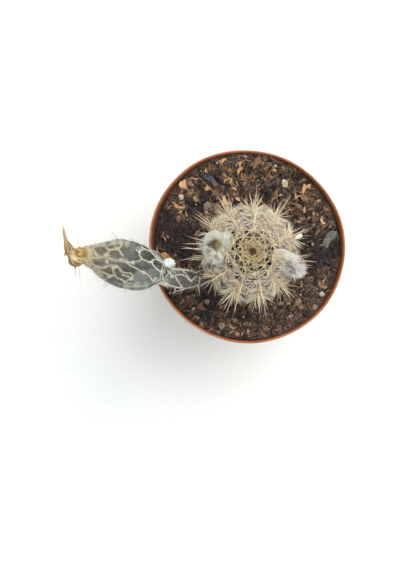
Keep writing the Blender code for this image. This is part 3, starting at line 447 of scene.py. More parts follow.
class Desk:
    """Adds nodes to one tree and wires them up."""

    def __init__(self, tree):
        self.tree = tree

    def feed(self, socket, value):
        """Links a socket to another one, or sets its value."""
        if isinstance(value, bpy.types.NodeSocket):
            self.tree.links.new(value, socket)
        elif socket.type == "RGBA":
            socket.default_value = (*value, 1.0)
        else:
            socket.default_value = value

    def add(self, kind, inputs=None, **settings):
        node = self.tree.nodes.new("ShaderNode" + kind)
        for name, value in settings.items():
            setattr(node, name, value)
        for name, value in (inputs or {}).items():
            self.feed(node.inputs[name], value)
        return node

    def places(self, stretch=(1, 1, 1)):
        """Object coordinates in mm, with the pattern drawn out along each axis by its stretch."""
        spot = self.add("TexCoord").outputs["Object"]
        scale = [1 / (MM * share) for share in stretch]
        return self.add("Mapping", {"Vector": spot, "Scale": scale}).outputs["Vector"]

    def axis(self, name):
        """How far along one axis a point lies, in mm."""
        return self.add("SeparateXYZ", {"Vector": self.places()}).outputs[name]

    def noise(self, per_mm, detail=4, rough=0.55, stretch=(1, 1, 1)):
        """Soft noise from 0 to 1 with this many lumps to the mm."""
        inputs = {"Vector": self.places(stretch), "Scale": per_mm, "Detail": detail, "Roughness": rough}
        return self.add("TexNoise", inputs).outputs[0]

    def cells(self, per_mm):
        """The distance to the nearest of many scattered points, this many to the mm."""
        return self.add("TexVoronoi", {"Vector": self.places(), "Scale": per_mm}).outputs["Distance"]

    def between(self, value, low, high, start=0, end=1):
        """Goes softly from start to end as the value goes from low to high."""
        inputs = {"Value": value, "From Min": low, "From Max": high, "To Min": start, "To Max": end}
        return self.add("MapRange", inputs, interpolation_type="SMOOTHSTEP").outputs["Result"]

    def calc(self, operation, first, second):
        node = self.add("Math", operation=operation)
        self.feed(node.inputs[0], first)
        self.feed(node.inputs[1], second)
        return node.outputs[0]

    def times(self, first, second):
        return self.calc("MULTIPLY", first, second)

    def plus(self, first, second):
        return self.calc("ADD", first, second)

    def swayed(self, value, noise, width):
        """A value moved up and down by noise, over this width in all."""
        return self.plus(value, self.times(self.plus(noise, -0.5), width))

    def blend(self, share, first, second, mode="MIX"):
        node = self.add("Mix", data_type="RGBA", blend_type=mode)
        for socket, value in ((0, share), (6, first), (7, second)):
            self.feed(node.inputs[socket], value)
        return node.outputs[2]

    def layered(self, colour, *layers):
        """A colour with others laid over it in turn, each (share, colour)."""
        for share, over in layers:
            colour = self.blend(share, colour, over)
        return colour

    def mark(self, name):
        """A value that the piece's own points carry."""
        return self.add("Attribute", attribute_name=name).outputs["Fac"]

    def bump(self, height, depth, below=None):
        """A normal raised by this height, whose full range is this deep in mm."""
        inputs = {"Height": height, "Distance": depth * MM, "Strength": 1}
        if below:
            inputs["Normal"] = below
        return self.add("Bump", inputs).outputs["Normal"]

    def use(self, group, **inputs):
        """A node group placed here. An underscore in a socket's name stands for a space."""
        node = self.add("Group", node_tree=bpy.data.node_groups[group])
        for name, value in inputs.items():
            self.feed(node.inputs[name.replace("_", " ")], value)
        return node.outputs

    def mottled(self, lumps_per_mm, dark, middle, light):
        """The colour and height of soft blotches of three colours."""
        return self.use("mottling", Dark=dark, Middle=middle, Light=light, Lumps_per_mm=lumps_per_mm)


class Finish(Desk):
    """The desk of a new material. The constants are set on its shader."""

    def __init__(self, name, **constants):
        finish = bpy.data.materials.new(name)
        finish.use_nodes = True
        FINISHES[name] = finish
        super().__init__(finish.node_tree)
        self.shader = self.tree.nodes["Principled BSDF"].inputs
        for socket, value in constants.items():
            self.shader[socket.replace("_", " ")].default_value = value

    def shows(self, colour, roughness, normal):
        """Feeds the shader with what changes over the surface."""
        self.feed(self.shader["Base Color"], colour)
        self.feed(self.shader["Roughness"], roughness)
        self.feed(self.shader["Normal"], normal)


def new_group(name, inputs, outputs):
    """The desk of an empty shader group with these sockets, and what it is given and puts out."""
    group = bpy.data.node_groups.new(name, "ShaderNodeTree")
    for in_out, sockets in (("INPUT", inputs), ("OUTPUT", outputs)):
        for socket, kind in sockets.items():
            group.interface.new_socket(name=socket, in_out=in_out, socket_type="NodeSocket" + kind)
    given = group.nodes.new("NodeGroupInput").outputs
    return Desk(group), given, group.nodes.new("NodeGroupOutput").inputs


def make_mottling():
    """Three colours mixed in soft blotches of two sizes, and a height that goes with them."""
    inputs = {"Dark": "Color", "Middle": "Color", "Light": "Color", "Lumps per mm": "Float"}
    desk, given, result = new_group("mottling", inputs, {"Colour": "Color", "Height": "Float"})
    broad = desk.noise(given["Lumps per mm"], 5, 0.6)
    fine = desk.noise(desk.times(given["Lumps per mm"], 5.3), 3)
    height = desk.plus(desk.times(broad, 0.65), desk.times(fine, 0.35))
    lower = desk.blend(desk.between(height, 0.34, 0.5), given["Dark"], given["Middle"])
    desk.feed(result["Colour"], desk.blend(desk.between(height, 0.5, 0.66), lower, given["Light"]))
    desk.feed(result["Height"], height)


def make_fibre_colour():
    """The colour of a hair or spine: from root to tip, stained by its own tint, some paler than others."""
    inputs = {"Root": "Color", "Tip": "Color", "Stain": "Color"}
    desk, given, result = new_group("fibre_colour", inputs, {"Colour": "Color", "Along": "Float"})
    along = desk.mark("along")
    plain = desk.blend(desk.between(along, 0, 0.8), given["Root"], given["Tip"])
    stained = desk.blend(desk.mark("tint"), plain, given["Stain"])
    paler = desk.between(desk.noise(1.7, 2), 0.35, 0.7, 0, 0.28)
    desk.feed(result["Colour"], desk.blend(paler, stained, (1, 0.98, 0.93), "SOFT_LIGHT"))
    desk.feed(result["Along"], along)


def make_soil_dust():
    """Dust and smears of potting mix that lie on a surface in patches."""
    inputs = {"Colour": "Color", "Dust": "Color", "Amount": "Float"}
    desk, given, result = new_group("soil_dust", inputs, {"Colour": "Color", "Cover": "Float"})
    both = desk.plus(desk.times(desk.noise(0.35, 6, 0.7), 0.6), desk.times(desk.noise(3.4, 3, 0.7), 0.4))
    cover = desk.between(desk.plus(both, desk.times(given["Amount"], 0.3)), 0.6, 0.74)
    desk.feed(result["Colour"], desk.blend(cover, given["Colour"], given["Dust"]))
    desk.feed(result["Cover"], cover)


def make_pot_plastic():
    """Terracotta-coloured plastic: faint swirls, a satin skin, scuffs on its lip, painted shade down its
    inner wall and soil low on its inside.
    """
    desk = Finish("pot_plastic", IOR=1.44)
    swirls = desk.mottled(0.11, rgb(140, 84, 54), rgb(166, 100, 63), rgb(184, 114, 73))
    flow = desk.noise(0.5, stretch=(1, 1, 6))
    scuff = desk.noise(2.2, 5, 0.75)
    inside = desk.mark("inside")
    height = desk.axis("Z")
    worn = desk.times(desk.between(height, 47.6, 48.9), desk.between(scuff, 0.52, 0.68, 0, 0.4))
    scuffed = desk.layered(
        swirls["Colour"],
        (desk.between(flow, 0.45, 0.75, 0, 0.22), rgb(196, 130, 90)),
        # painted shade: the inner wall darkens downwards inside the collar
        (desk.times(inside, desk.between(height, *RIM_SHADE, 0.72, 0.16)), rgb(70, 49, 42)),
        (worn, rgb(212, 156, 116)),
    )
    amount = desk.plus(desk.times(inside, desk.between(height, 44, 47, 0.6, 0)), 0.02)
    dusty = desk.use("soil_dust", Colour=scuffed, Dust=rgb(78, 61, 54), Amount=amount)
    dull = desk.plus(desk.between(scuff, 0.3, 0.75, 0.36, 0.56), desk.times(dusty["Cover"], 0.3))
    skin = desk.bump(desk.noise(6, 3), 0.02)
    desk.shows(dusty["Colour"], dull, desk.bump(dusty["Cover"], 0.06, skin))


def make_peat():
    """Damp peat and composted bark. Painted shade makes its hollows nearly black, and it is nearly black
    where it is damp and where shadow is painted on it.
    """
    desk = Finish("damp_peat")
    soil = desk.mottled(0.6, rgb(26, 20, 19), rgb(62, 49, 42), rgb(112, 88, 71))
    specked = desk.layered(
        soil["Colour"],
        (desk.between(desk.noise(0.2, 3), 0.45, 0.62, 0, 0.6), rgb(104, 74, 58)),
        (desk.between(desk.noise(5.5, 2), 0.7, 0.78), rgb(170, 146, 120)),
    )
    # painted shade: the hollows between the soil's crumbs turn nearly black
    deep = desk.blend(desk.between(desk.mark("raised"), -0.5, 0.05), rgb(17, 13, 13), specked)
    # the soil's damp places and painted shadows, nearly black
    wet_and_shadowed = desk.blend(desk.times(desk.mark("wet_and_shadowed"), 0.85), deep, rgb(24, 21, 23))
    grains = desk.cells(2.6)
    relief = desk.bump(soil["Height"], 0.35, desk.bump(grains, 0.3))
    desk.shows(wet_and_shadowed, desk.between(grains, 0, 0.6, 0.95, 0.62), relief)


def make_crumb_finish(name, dark, middle, light, roughness, grain=(1, 1, 1)):
    """Bark, peat or grit: each crumb has its own tint between the dark and the light colour."""
    desk = Finish(name)
    dark, middle, light = rgb(*dark), rgb(*middle), rgb(*light)
    tint = desk.mark("tint")
    own = desk.layered(dark, (desk.between(tint, 0, 0.5), middle), (desk.between(tint, 0.5, 1), light))
    lines = desk.noise(3.2, 4, 0.65, grain)
    streaks = desk.between(lines, 0.5, 0.8, 0, 0.35)
    rough = desk.between(lines, 0.3, 0.7, roughness - 0.15, roughness + 0.08)
    blotches = desk.mottled(1.4, dark, own, own)["Colour"]
    desk.shows(desk.blend(streaks, blotches, light), rough, desk.bump(lines, 0.12))


def make_fibre_finish(name, root, tip, stain, roughness):
    """Spines, bristles and wool."""
    desk = Finish(name)
    fibre = desk.use("fibre_colour", Root=rgb(*root), Tip=rgb(*tip), Stain=rgb(*stain))
    rough = desk.between(fibre["Along"], 0, 1, roughness + 0.12, roughness - 0.06)
    desk.shows(fibre["Colour"], rough, desk.bump(desk.noise(11, 2), 0.015))


def make_petal_finish(name, dark, middle, light, inside):
    """Dry petals, veined lengthwise, with another colour inside the fold that they leave open."""
    desk = Finish(name, Subsurface_Weight=0.15, Subsurface_Scale=0.001)
    dry = desk.mottled(0.5, rgb(*dark), rgb(*middle), rgb(*light))["Colour"]
    veins = desk.noise(2.2, 4, 0.6, (3, 0.6, 1))
    colour = desk.layered(
        dry,
        (desk.between(desk.mark("tint"), 0.1, 0.7), rgb(*inside)),
        (desk.between(veins, 0.5, 0.8, 0, 0.35), rgb(*dark)),
    )
    desk.shows(colour, desk.between(veins, 0.3, 0.7, 0.5, 0.75), desk.bump(veins, 0.14))


def make_stem_skin():
    """Mauve grey-brown skin. Painted shade darkens its valleys, browns it near its tip where the furrows are
    deep, and makes the pockets there nearly black.
    """
    desk = Finish("stem_skin")
    skin = desk.mottled(0.8, rgb(128, 111, 103), rgb(154, 136, 126), rgb(174, 158, 146))
    flecks = desk.noise(9, 2)
    colour = desk.layered(
        skin["Colour"],
        # painted shade: darker in the valleys between the ribs
        (desk.between(desk.mark("hollow"), 0.35, 1, 0, 0.25), rgb(118, 100, 92)),
        # painted shade of the deep furrows near the tip, in brown
        (desk.between(desk.mark("from_tip"), 4.2, 7.4, 0.75, 0), rgb(96, 80, 60)),
        # painted shadow: nearly black pockets between the spines near the tip
        (desk.between(desk.mark("pocket_shadow"), 0, 0.35, 0, 0.97), rgb(17, 11, 9)),
        (desk.between(flecks, 0.62, 0.74, 0, 0.2), rgb(166, 152, 138)),
    )
    wrinkles = desk.bump(desk.noise(3, 5, 0.6, (1, 1, 0.4)), 0.09, desk.bump(flecks, 0.03))
    desk.shows(colour, desk.between(flecks, 0.3, 0.8, 0.55, 0.75), wrinkles)


def make_felt():
    """The dense wool under a bud's hairs, its pit dark brown on one side and olive on the other."""
    desk = Finish("bud_felt", Sheen_Weight=0.3)
    wool = desk.mottled(1, rgb(150, 144, 124), rgb(190, 186, 166), rgb(220, 218, 202))["Colour"]
    brown = desk.mottled(0.8, rgb(52, 40, 28), rgb(82, 65, 46), rgb(112, 92, 64))["Colour"]
    olive = desk.mottled(0.8, rgb(104, 86, 50), rgb(142, 124, 74), rgb(170, 154, 102))["Colour"]
    pit = desk.blend(desk.between(desk.axis("X"), -10, -8.7), brown, olive)
    fuzz = desk.noise(5, 4, 0.7)
    colour = desk.blend(desk.mark("pit"), wool, pit)
    desk.shows(colour, desk.between(fuzz, 0.3, 0.7, 0.85, 1), desk.bump(fuzz, 0.25))


def make_pod_skin():
    """Cool grey papery skin, browner and purplish towards the tip, hazy with pale wool along its net."""
    desk = Finish("pod_skin")
    grey = desk.mottled(0.35, rgb(54, 57, 51), rgb(77, 80, 73), rgb(98, 102, 94))["Colour"]
    brown = desk.mottled(0.6, rgb(66, 57, 51), rgb(92, 82, 72), rgb(118, 107, 92))["Colour"]
    outward = desk.mark("from_stem")
    tone = desk.mark("tone")
    fuzz = desk.noise(2.2, 5, 0.65)
    flecks = desk.noise(6.5, 3, 0.6)
    cream = desk.blend(desk.between(outward, 0.65, 0.9), rgb(136, 140, 129), rgb(170, 159, 130))
    to_net = desk.times(desk.mark("to_net"), desk.between(outward, 0.72, 0.94, 1, 0.55))
    colour = desk.layered(
        grey,
        (desk.between(tone, 0, 0.6, 0, 0.8), rgb(118, 123, 118)),
        (desk.between(tone, -0.6, 0, 0.75, 0), rgb(54, 52, 46)),
        (desk.between(desk.swayed(outward, desk.noise(0.22, 3), 0.3), 0.72, 0.88), brown),
        (desk.between(outward, 0.32, 0.46, 0.88, 0), rgb(92, 82, 74)),
        (desk.between(desk.swayed(to_net, fuzz, 0.8), -0.1, 0.38, 0.75, 0), cream),
        (desk.times(desk.mark("veil"), desk.between(fuzz, 0.32, 0.58, 0.3, 0.95)), rgb(186, 182, 160)),
        (desk.between(desk.swayed(outward, fuzz, 0.06), 0.965, 0.995), rgb(196, 180, 146)),
        (desk.between(flecks, 0.6, 0.76, 0, 0.25), rgb(156, 156, 142)),
    )
    creases = desk.bump(desk.noise(1.6, 5, 0.6), 0.2, desk.bump(flecks, 0.04))
    desk.shows(colour, desk.between(flecks, 0.3, 0.7, 0.42, 0.66), creases)


def make_net_finish():
    """The pod's raised net: white near the stem and cream towards the tip."""
    desk = Finish("pod_net")
    white = desk.mottled(0.7, rgb(176, 178, 168), rgb(232, 234, 225), rgb(252, 253, 248))["Colour"]
    cream = desk.mottled(0.7, rgb(124, 116, 98), rgb(192, 185, 160), rgb(228, 221, 198))["Colour"]
    outward = desk.plus(desk.axis("X"), desk.times(desk.noise(0.5, 2), 8))
    fuzz = desk.noise(7, 3)
    colour = desk.blend(desk.between(outward, -35, -25), cream, white)
    desk.shows(colour, desk.between(fuzz, 0.3, 0.7, 0.6, 0.85), desk.bump(fuzz, 0.06))


def make_perlite():
    """White expanded glass, pitted all over."""
    desk = Finish("perlite")
    white = desk.mottled(1.2, rgb(206, 204, 198), rgb(238, 237, 232), rgb(250, 250, 247))["Colour"]
    pits = desk.cells(3.4)
    desk.shows(white, desk.between(pits, 0.1, 0.6, 0.95, 0.75), desk.bump(pits, 0.25))


def make_finishes():
    """Every finish of the potted cactus, and the groups that they share."""
    for make in (make_mottling, make_fibre_colour, make_soil_dust, make_pot_plastic, make_peat):
        make()
    for make in (make_stem_skin, make_felt, make_pod_skin, make_net_finish, make_perlite, make_studio_paper):
        make()
    for make, rows in (
        (make_crumb_finish, CRUMB_FINISHES),
        (make_fibre_finish, FIBRE_FINISHES),
        (make_petal_finish, PETAL_FINISHES),
    ):
        for row in rows:
            make(*row)


def make_studio_paper():
    """The pale floor."""
    desk = Finish("studio_paper", Roughness=0.9)
    tooth = desk.between(desk.noise(0.8, 3), 0.3, 0.7)
    desk.feed(desk.shader["Base Color"], desk.blend(tooth, (0.86, 0.87, 0.85), (0.88, 0.89, 0.87)))


# Meshes

# A direction that no hair follows
ASKEW = np.array([0.31, 0.53, 0.79])


class Draws(random.Random):
    """Random draws that a seed fixes. Called, it draws between two limits."""

    __call__ = random.Random.uniform

    def sway(self, spread):
        """A vector whose three parts have this spread."""
        return Vector(self.gauss(0, spread) for _ in range(3))


def linked(name, data):
    """A new object of the scene that holds this mesh, curve, camera or light."""
    obj = bpy.data.objects.new(name, data)
    bpy.context.scene.collection.objects.link(obj)
    return obj


def new_mesh(name, bm):
    """A mesh that takes over this bmesh, with its faces pointing out."""
    bmesh.ops.recalc_face_normals(bm, faces=bm.faces)
    if bm.calc_volume(signed=True) < 0:
        bmesh.ops.reverse_faces(bm, faces=bm.faces)
    mesh = bpy.data.meshes.new(name)
    bm.to_mesh(mesh)
    bm.free()
    return mesh


def evaluated(obj):
    """A new mesh of what an object's modifiers make, in place of the object."""
    mesh = bpy.data.meshes.new_from_object(obj.evaluated_get(bpy.context.evaluated_depsgraph_get()))
    bpy.data.objects.remove(obj)
    return mesh


def add_piece(name, mesh, finish, node=None):
    """A shown piece that rides with the pot and, where a node is named, stands for it."""
    obj = linked(name, mesh)
    mesh.materials.clear()
    mesh.materials.append(FINISHES[finish])
    mesh.shade_smooth()
    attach(obj, "root")
    if node:
        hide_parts(node)


def tree_of(mesh):
    """The search tree of a mesh's faces."""
    bm = bmesh.new()
    bm.from_mesh(mesh)
    tree = BVHTree.FromBMesh(bm)
    bm.free()
    return tree


def read_points(mesh, copies):
    """The points of a mesh, as one table for each of its copies."""
    points = np.empty(3 * len(mesh.vertices), np.float32)
    mesh.vertices.foreach_get("co", points)
    return points.reshape(copies, -1, 3).astype(float)


def write_points(mesh, points):
    """Moves the points of a mesh to these places."""
    mesh.vertices.foreach_set("co", np.asarray(points, np.float32).ravel())
    mesh.update()


def write_mark(mesh, name, values):
    """Gives each point of a mesh a value that its material can read."""
    mark = mesh.attributes.new(name, "FLOAT", "POINT")
    mark.data.foreach_set("value", np.asarray(values, np.float32).ravel())


def shaped_ball(sides, rings, place, *marks):
    """A closed ball with each point where place(ring, turn) says. A turn runs from 0 to 1.

    After the point, place gives a value for each of the named marks.
    """
    bm = bmesh.new()
    bmesh.ops.create_uvsphere(bm, u_segments=sides, v_segments=rings, radius=1)
    rows = []
    for vert in bm.verts:
        ring = round(acos(max(-1.0, min(1.0, vert.co.z))) * rings / pi)
        vert.co, *values = place(ring, (atan2(vert.co.y, vert.co.x) / TURN) % 1)
        rows.append(values)
    mesh = new_mesh("ball", bm)
    for mark, values in zip(marks, zip(*rows)):
        write_mark(mesh, mark, values)
    return mesh


def turned(profile, steps):
    """A closed body turned about the pot's axis from a profile of (radius, height)."""
    bm = bmesh.new()
    points = [bm.verts.new((radius, 0, height)) for radius, height in profile]
    geom = points + [bm.edges.new(pair) for pair in zip(points, points[1:])]
    bmesh.ops.spin(bm, geom=geom, cent=(0, 0, 0), axis=UP, angle=TURN, steps=steps, use_merge=True)
    bmesh.ops.remove_doubles(bm, verts=bm.verts, dist=0.001 * MM)
    return bm


def copies_of(mesh, count):
    """A mesh that holds this many copies of another, one after the other."""
    obj = linked("copies", mesh)
    array = obj.modifiers.new("copies", "ARRAY")
    array.count = count
    array.use_relative_offset = False
    return evaluated(obj)


def hair_mesh(rings):
    """A three-sided spike one unit long that stays full and then thins to its tip."""
    bm = bmesh.new()
    bmesh.ops.create_cone(bm, cap_ends=True, segments=3, radius1=1, radius2=0, depth=1)
    bmesh.ops.translate(bm, verts=bm.verts, vec=(0, 0, 0.5))
    for n in range(1, rings + 1):
        geom = bm.verts[:] + bm.edges[:] + bm.faces[:]
        bmesh.ops.bisect_plane(bm, geom=geom, plane_co=(0, 0, n / (rings + 1)), plane_no=(0, 0, 1))
    for vert in bm.verts:
        fullness = 1 + vert.co.z
        vert.co.x *= fullness
        vert.co.y *= fullness
    return new_mesh("hair", bm)


def unit(vectors):
    """Each vector made one long."""
    return vectors / np.maximum(np.linalg.norm(vectors, axis=-1, keepdims=True), 1e-12)


def hair(root, tip, bow, radius, tint):
    """A hair whose middle bows out. A hair leaves its root towards its bend, which comes second."""
    return root, (root + tip) / 2 + bow, tip, radius, tint


def through(spots, radius, tint):
    """A hair through three points."""
    root, middle, tip = spots
    return root, 2 * middle - (root + tip) / 2, tip, radius, tint


def add_hairs(name, hairs, finish, rings=3):
    """A piece of many hairs, each (root, bend, tip, radius, tint)."""
    hairs = list(hairs)
    mesh = copies_of(hair_mesh(rings), len(hairs))
    shape = read_points(mesh, len(hairs))
    root, bend, tip = (np.array([hair[n][:] for hair in hairs])[:, None, :] for n in range(3))
    radius, tint = (np.array([hair[n] for hair in hairs])[:, None] for n in (3, 4))
    along = shape[..., 2:]
    line = (1 - along) ** 2 * root + 2 * along * (1 - along) * bend + along**2 * tip
    reach = unit(tip - root)
    side = unit(np.cross(reach, ASKEW))
    up = np.cross(reach, side)
    write_points(mesh, line + radius[..., None] * (shape[..., :1] * side + shape[..., 1:2] * up))
    write_mark(mesh, "along", along)
    write_mark(mesh, "tint", np.broadcast_to(tint, along.shape[:2]))
    add_piece(name, mesh, finish)


def crumbs_mesh(template, crumbs, jitter, seed):
    """Many crumbs in one mesh. Each is (matrix, tint). Their corners are pushed about by the jitter."""
    crumbs = list(crumbs)
    mesh = copies_of(template, len(crumbs))
    shape = read_points(mesh, len(crumbs))
    shape *= 1 + np.random.default_rng(seed).uniform(-jitter, jitter, shape.shape)
    placed = np.array([matrix for matrix, _ in crumbs])
    write_points(mesh, np.einsum("nij,nkj->nki", placed[:, :3, :3], shape) + placed[:, None, :3, 3])
    tint = np.array([tint for _, tint in crumbs])[:, None]
    write_mark(mesh, "tint", np.broadcast_to(tint, shape.shape[:2]))
    return mesh


def add_crumbs(name, finish, template, crumbs, jitter, seed):
    """A piece of many crumbs with sharp edges."""
    mesh = crumbs_mesh(template, crumbs, jitter, seed)
    add_piece(name, mesh, finish)
    mesh.set_sharp_from_angle(angle=radians(30))


# What the camera sees


def photo_ray(pixel):
    """The way from the camera through a pixel of the photograph."""
    scale = SENSOR_LENGTH / PHOTO_HEIGHT
    x, y = pixel
    return Vector(((x - PHOTO_WIDTH / 2) * scale, (PHOTO_HEIGHT / 2 - y) * scale, -CAMERA_LENS)).normalized()


def spot_seen(surface, pixel):
    """The point of a surface that the camera sees at a pixel, and the normal there, or two Nones."""
    return surface.ray_cast(CAMERA_PLACE, photo_ray(pixel))[:2]


def spots_seen(surface, pixels):
    """The points of a surface that the camera sees at some pixels."""
    spots = [spot_seen(surface, pixel)[0] for pixel in pixels]
    return [spot for spot in spots if spot is not None]


def spot_at_height(pixel, height):
    """The point at a height that the camera sees at a pixel."""
    ray = photo_ray(pixel)
    return CAMERA_PLACE + ray * ((height - CAMERA_PLACE.z) / ray.z)


def pixel_size(height):
    """The length that one pixel covers at a height."""
    return SENSOR_LENGTH / PHOTO_HEIGHT / CAMERA_LENS * (CAMERA_PLACE.z - height)


def pixel_of(point):
    """The pixel at which the camera sees a point."""
    away = (point - CAMERA_PLACE) / pixel_size(point.z)
    return PHOTO_WIDTH / 2 + away.x, PHOTO_HEIGHT / 2 - away.y


def spot_depth(point, spots):
    """How deep a point lies in the nearest of some round spots of the photograph, from 0 to 1."""
    x, y = pixel_of(point)
    return max(0.0, *(1 - hypot(x - mid_x, y - mid_y) ** 2 / size**2 for mid_x, mid_y, size in spots))


def depths(mesh, spots):
    """How deep each point of a mesh lies in some round spots."""
    return np.array([spot_depth(vert.co, spots) for vert in mesh.vertices])


def is_clear(root, way, shares, surfaces):
    """Whether the points at these shares of the way from a root lie outside the surfaces with a gap."""
    for surface in surfaces:
        for share in shares:
            point = root + way * share
            near, normal, _, away = surface.find_nearest(point, 4 * MM)
            if near and (away < CLEARANCE or (point - near).dot(normal) < 0):
                return False
    return True


def across(vector, normal):
    """What is left of a vector without its share along a normal."""
    return vector - normal * vector.dot(normal)


def four_about(values, leg):
    """The values at both ends of a leg of a line, with the one before and the one after."""
    return [values[min(max(n, 0), len(values) - 1)] for n in range(leg - 1, leg + 3)]


def curve_through(four, part):
    """The Catmull-Rom curve between the second and third of four points."""
    a, b, c, d = four
    bend = (c - a) * part + (2 * a - 5 * b + 4 * c - d) * part**2 + (3 * b - a - 3 * c + d) * part**3
    return b + 0.5 * bend


def smooth_line(points, step):
    """Points about a step apart on the smooth line through some points."""
    line = []
    for n, (start, end) in enumerate(zip(points, points[1:])):
        count = max(1, round((end - start).length / step))
        line += [curve_through(four_about(points, n), k / count) for k in range(count)]
    return line + [points[-1]]


class Route:
    """A smooth line through points, each with a radius there."""

    def __init__(self, points, radii):
        self.points = points
        self.radii = radii
        steps = [(b - a).length for a, b in zip(points, points[1:])]
        self.marks = [sum(steps[:n]) / sum(steps) for n in range(len(points))]

    def at(self, share):
        """(centre, side, up, radius) at this share of the line."""
        leg = max(n for n in range(len(self.marks) - 1) if n == 0 or self.marks[n] <= share)
        part = (share - self.marks[leg]) / (self.marks[leg + 1] - self.marks[leg])
        points = four_about(self.points, leg)
        centre = curve_through(points, part)
        forward = curve_through(points, part + 0.01) - centre
        side = forward.cross(UP).normalized()
        radius = curve_through(four_about(self.radii, leg), part)
        return centre, side, side.cross(forward).normalized(), radius

    def skin(self, share, angle, lift=0.0):
        """A point on the tube round the line. The angle is 90 degrees on top."""
        centre, side, up, radius = self.at(share)
        return centre + (side * cos(angle) + up * sin(angle)) * (radius + lift)


# Pot


def squeezed(co):
    """A point of the pot or soil moved with the rim's slight oval. The foot stays round."""
    long_way = direction(SQUEEZE_AZIMUTH)
    short_way = UP.cross(long_way)
    share = SQUEEZE * co.z / POT_HEIGHT
    return co + long_way * co.dot(long_way) * share - short_way * co.dot(short_way) * share


def inner_wall_radius(height):
    """The pot's inner radius at a height, below its ledge or inside its collar."""
    low = (FOOT_RADIUS - WALL, FLOOR + FOOT_FILLET)
    high = (RIM_RADIUS - LIP_PROUD - COLLAR_STEP - WALL, LEDGE_HEIGHT)
    if height > LEDGE_HEIGHT:
        low = (RIM_RADIUS - RIM_WIDTH - COLLAR_DRAFT, LEDGE_HEIGHT + 1.1 * MM)
        high = (RIM_RADIUS - RIM_WIDTH, POT_HEIGHT - 0.25 * MM)
    return low[0] + (high[0] - low[0]) * (height - low[1]) / (high[1] - low[1])


def pot_profile():
    """(radius, height) from the middle of the floor, up the inside, over the rim and down the outside."""
    under_collar = RIM_RADIUS - LIP_PROUD - COLLAR_STEP
    inner_rim = RIM_RADIUS - RIM_WIDTH
    return (
        (0, FLOOR),
        (FOOT_RADIUS - WALL - FOOT_FILLET, FLOOR),
        (FOOT_RADIUS - WALL, FLOOR + FOOT_FILLET),
        (under_collar - WALL, LEDGE_HEIGHT),
        (inner_rim - COLLAR_DRAFT, LEDGE_HEIGHT + 1.1 * MM),
        (inner_rim, POT_HEIGHT - 0.25 * MM),
        (inner_rim + 0.2 * MM, POT_HEIGHT),
        (RIM_RADIUS - 0.22 * MM, POT_HEIGHT),
        (RIM_RADIUS, POT_HEIGHT - 0.3 * MM),
        (RIM_RADIUS, POT_HEIGHT - LIP_HEIGHT),
        (RIM_RADIUS - LIP_PROUD, POT_HEIGHT - LIP_HEIGHT - 0.3 * MM),
        (RIM_RADIUS - LIP_PROUD - 0.4 * MM, LEDGE_HEIGHT + 0.7 * MM),
        (under_collar, LEDGE_HEIGHT - 0.1 * MM),
        (FOOT_RADIUS + 0.1 * MM, FOOT_FILLET),
        (FOOT_RADIUS - FOOT_FILLET, 0),
        (0, 0),
    )


def drain_cutter(n):
    """The rod that cuts one drain hole."""
    bm = bmesh.new()
    size = {"radius1": DRAIN_RADIUS, "radius2": DRAIN_RADIUS, "depth": 6 * FLOOR}
    bmesh.ops.create_cone(bm, cap_ends=True, segments=40, **size)
    place = direction(TURN * (n + 0.5) / DRAIN_HOLES) * DRAIN_CIRCLE
    bmesh.ops.translate(bm, verts=bm.verts, vec=place)
    return linked("drain", new_mesh("drain", bm))


def build_pot():
    """The turned pot with rounded edges and drain holes, squeezed a little out of round."""
    bm = turned(pot_profile(), POT_STEPS)
    corners = [edge for edge in bm.edges if edge.is_manifold and edge.calc_face_angle() > radians(25)]
    bmesh.ops.bevel(
        bm, geom=corners, offset=0.1 * MM, offset_type="OFFSET", segments=2, profile=0.5,
        affect="EDGES", material=-1, clamp_overlap=True
    )
    pot = linked("pot", new_mesh("pot", bm))
    cutters = [drain_cutter(n) for n in range(DRAIN_HOLES)]
    for cutter in cutters:
        cut = pot.modifiers.new("drain", "BOOLEAN")
        cut.operation = "DIFFERENCE"
        cut.object = cutter
    mesh = evaluated(pot)
    for cutter in cutters:
        bpy.data.objects.remove(cutter)
    inside = []
    for vert in mesh.vertices:
        level = Vector((vert.co.x, vert.co.y, 0))
        faces_in = vert.normal.dot(level) < -0.25 * level.length
        faces_in = faces_in or (vert.co.z > FLOOR / 2 and vert.normal.z > 0.9)
        inside.append(float(faces_in and vert.co.z < POT_HEIGHT - 0.2 * MM))
    write_mark(mesh, "inside", inside)
    for vert in mesh.vertices:
        azimuth = atan2(vert.co.y, vert.co.x)
        wave = sin(3 * azimuth + 0.6) + 0.6 * sin(7 * azimuth)
        level = Vector((vert.co.x, vert.co.y, 0)).normalized()
        vert.co = squeezed(vert.co) + level * 0.09 * MM * wave * (vert.co.z / POT_HEIGHT) ** 6
    add_piece("pot_body", mesh, "pot_plastic", "pot")
    mesh.set_sharp_from_angle(angle=radians(38))


# Stem


def on_axis(azimuth, radius, height):
    """The point at this azimuth, distance from the stem's axis and height."""
    return STEM_AXIS + direction(azimuth) * radius + UP * height


def stem_profile(along):
    """(radius, height, rise of the normal) of the smooth stem at a distance from its tip."""
    if along > QUARTER:
        below = along - QUARTER
        return STEM_RADIUS - STEM_TAPER * below, DOME_CENTRE - below, 0.0
    polar = along / STEM_RADIUS
    radius = STEM_RADIUS * sin(polar)
    dip = APEX_DIP * exp(-((radius / APEX_DIP_WIDTH) ** 2))
    return radius, DOME_CENTRE + STEM_RADIUS * cos(polar) - dip, pi / 2 - polar


def areoles_of(rib):
    """How far each areole of a rib lies from the stem's tip. Neighbouring ribs are staggered."""
    spots = [FIRST_AREOLE[rib % 2]]
    while spots[-1] < LAST_AREOLE:
        spots.append(spots[-1] + AREOLE_STEPS[min(len(spots), len(AREOLE_STEPS)) - 1])
    return spots


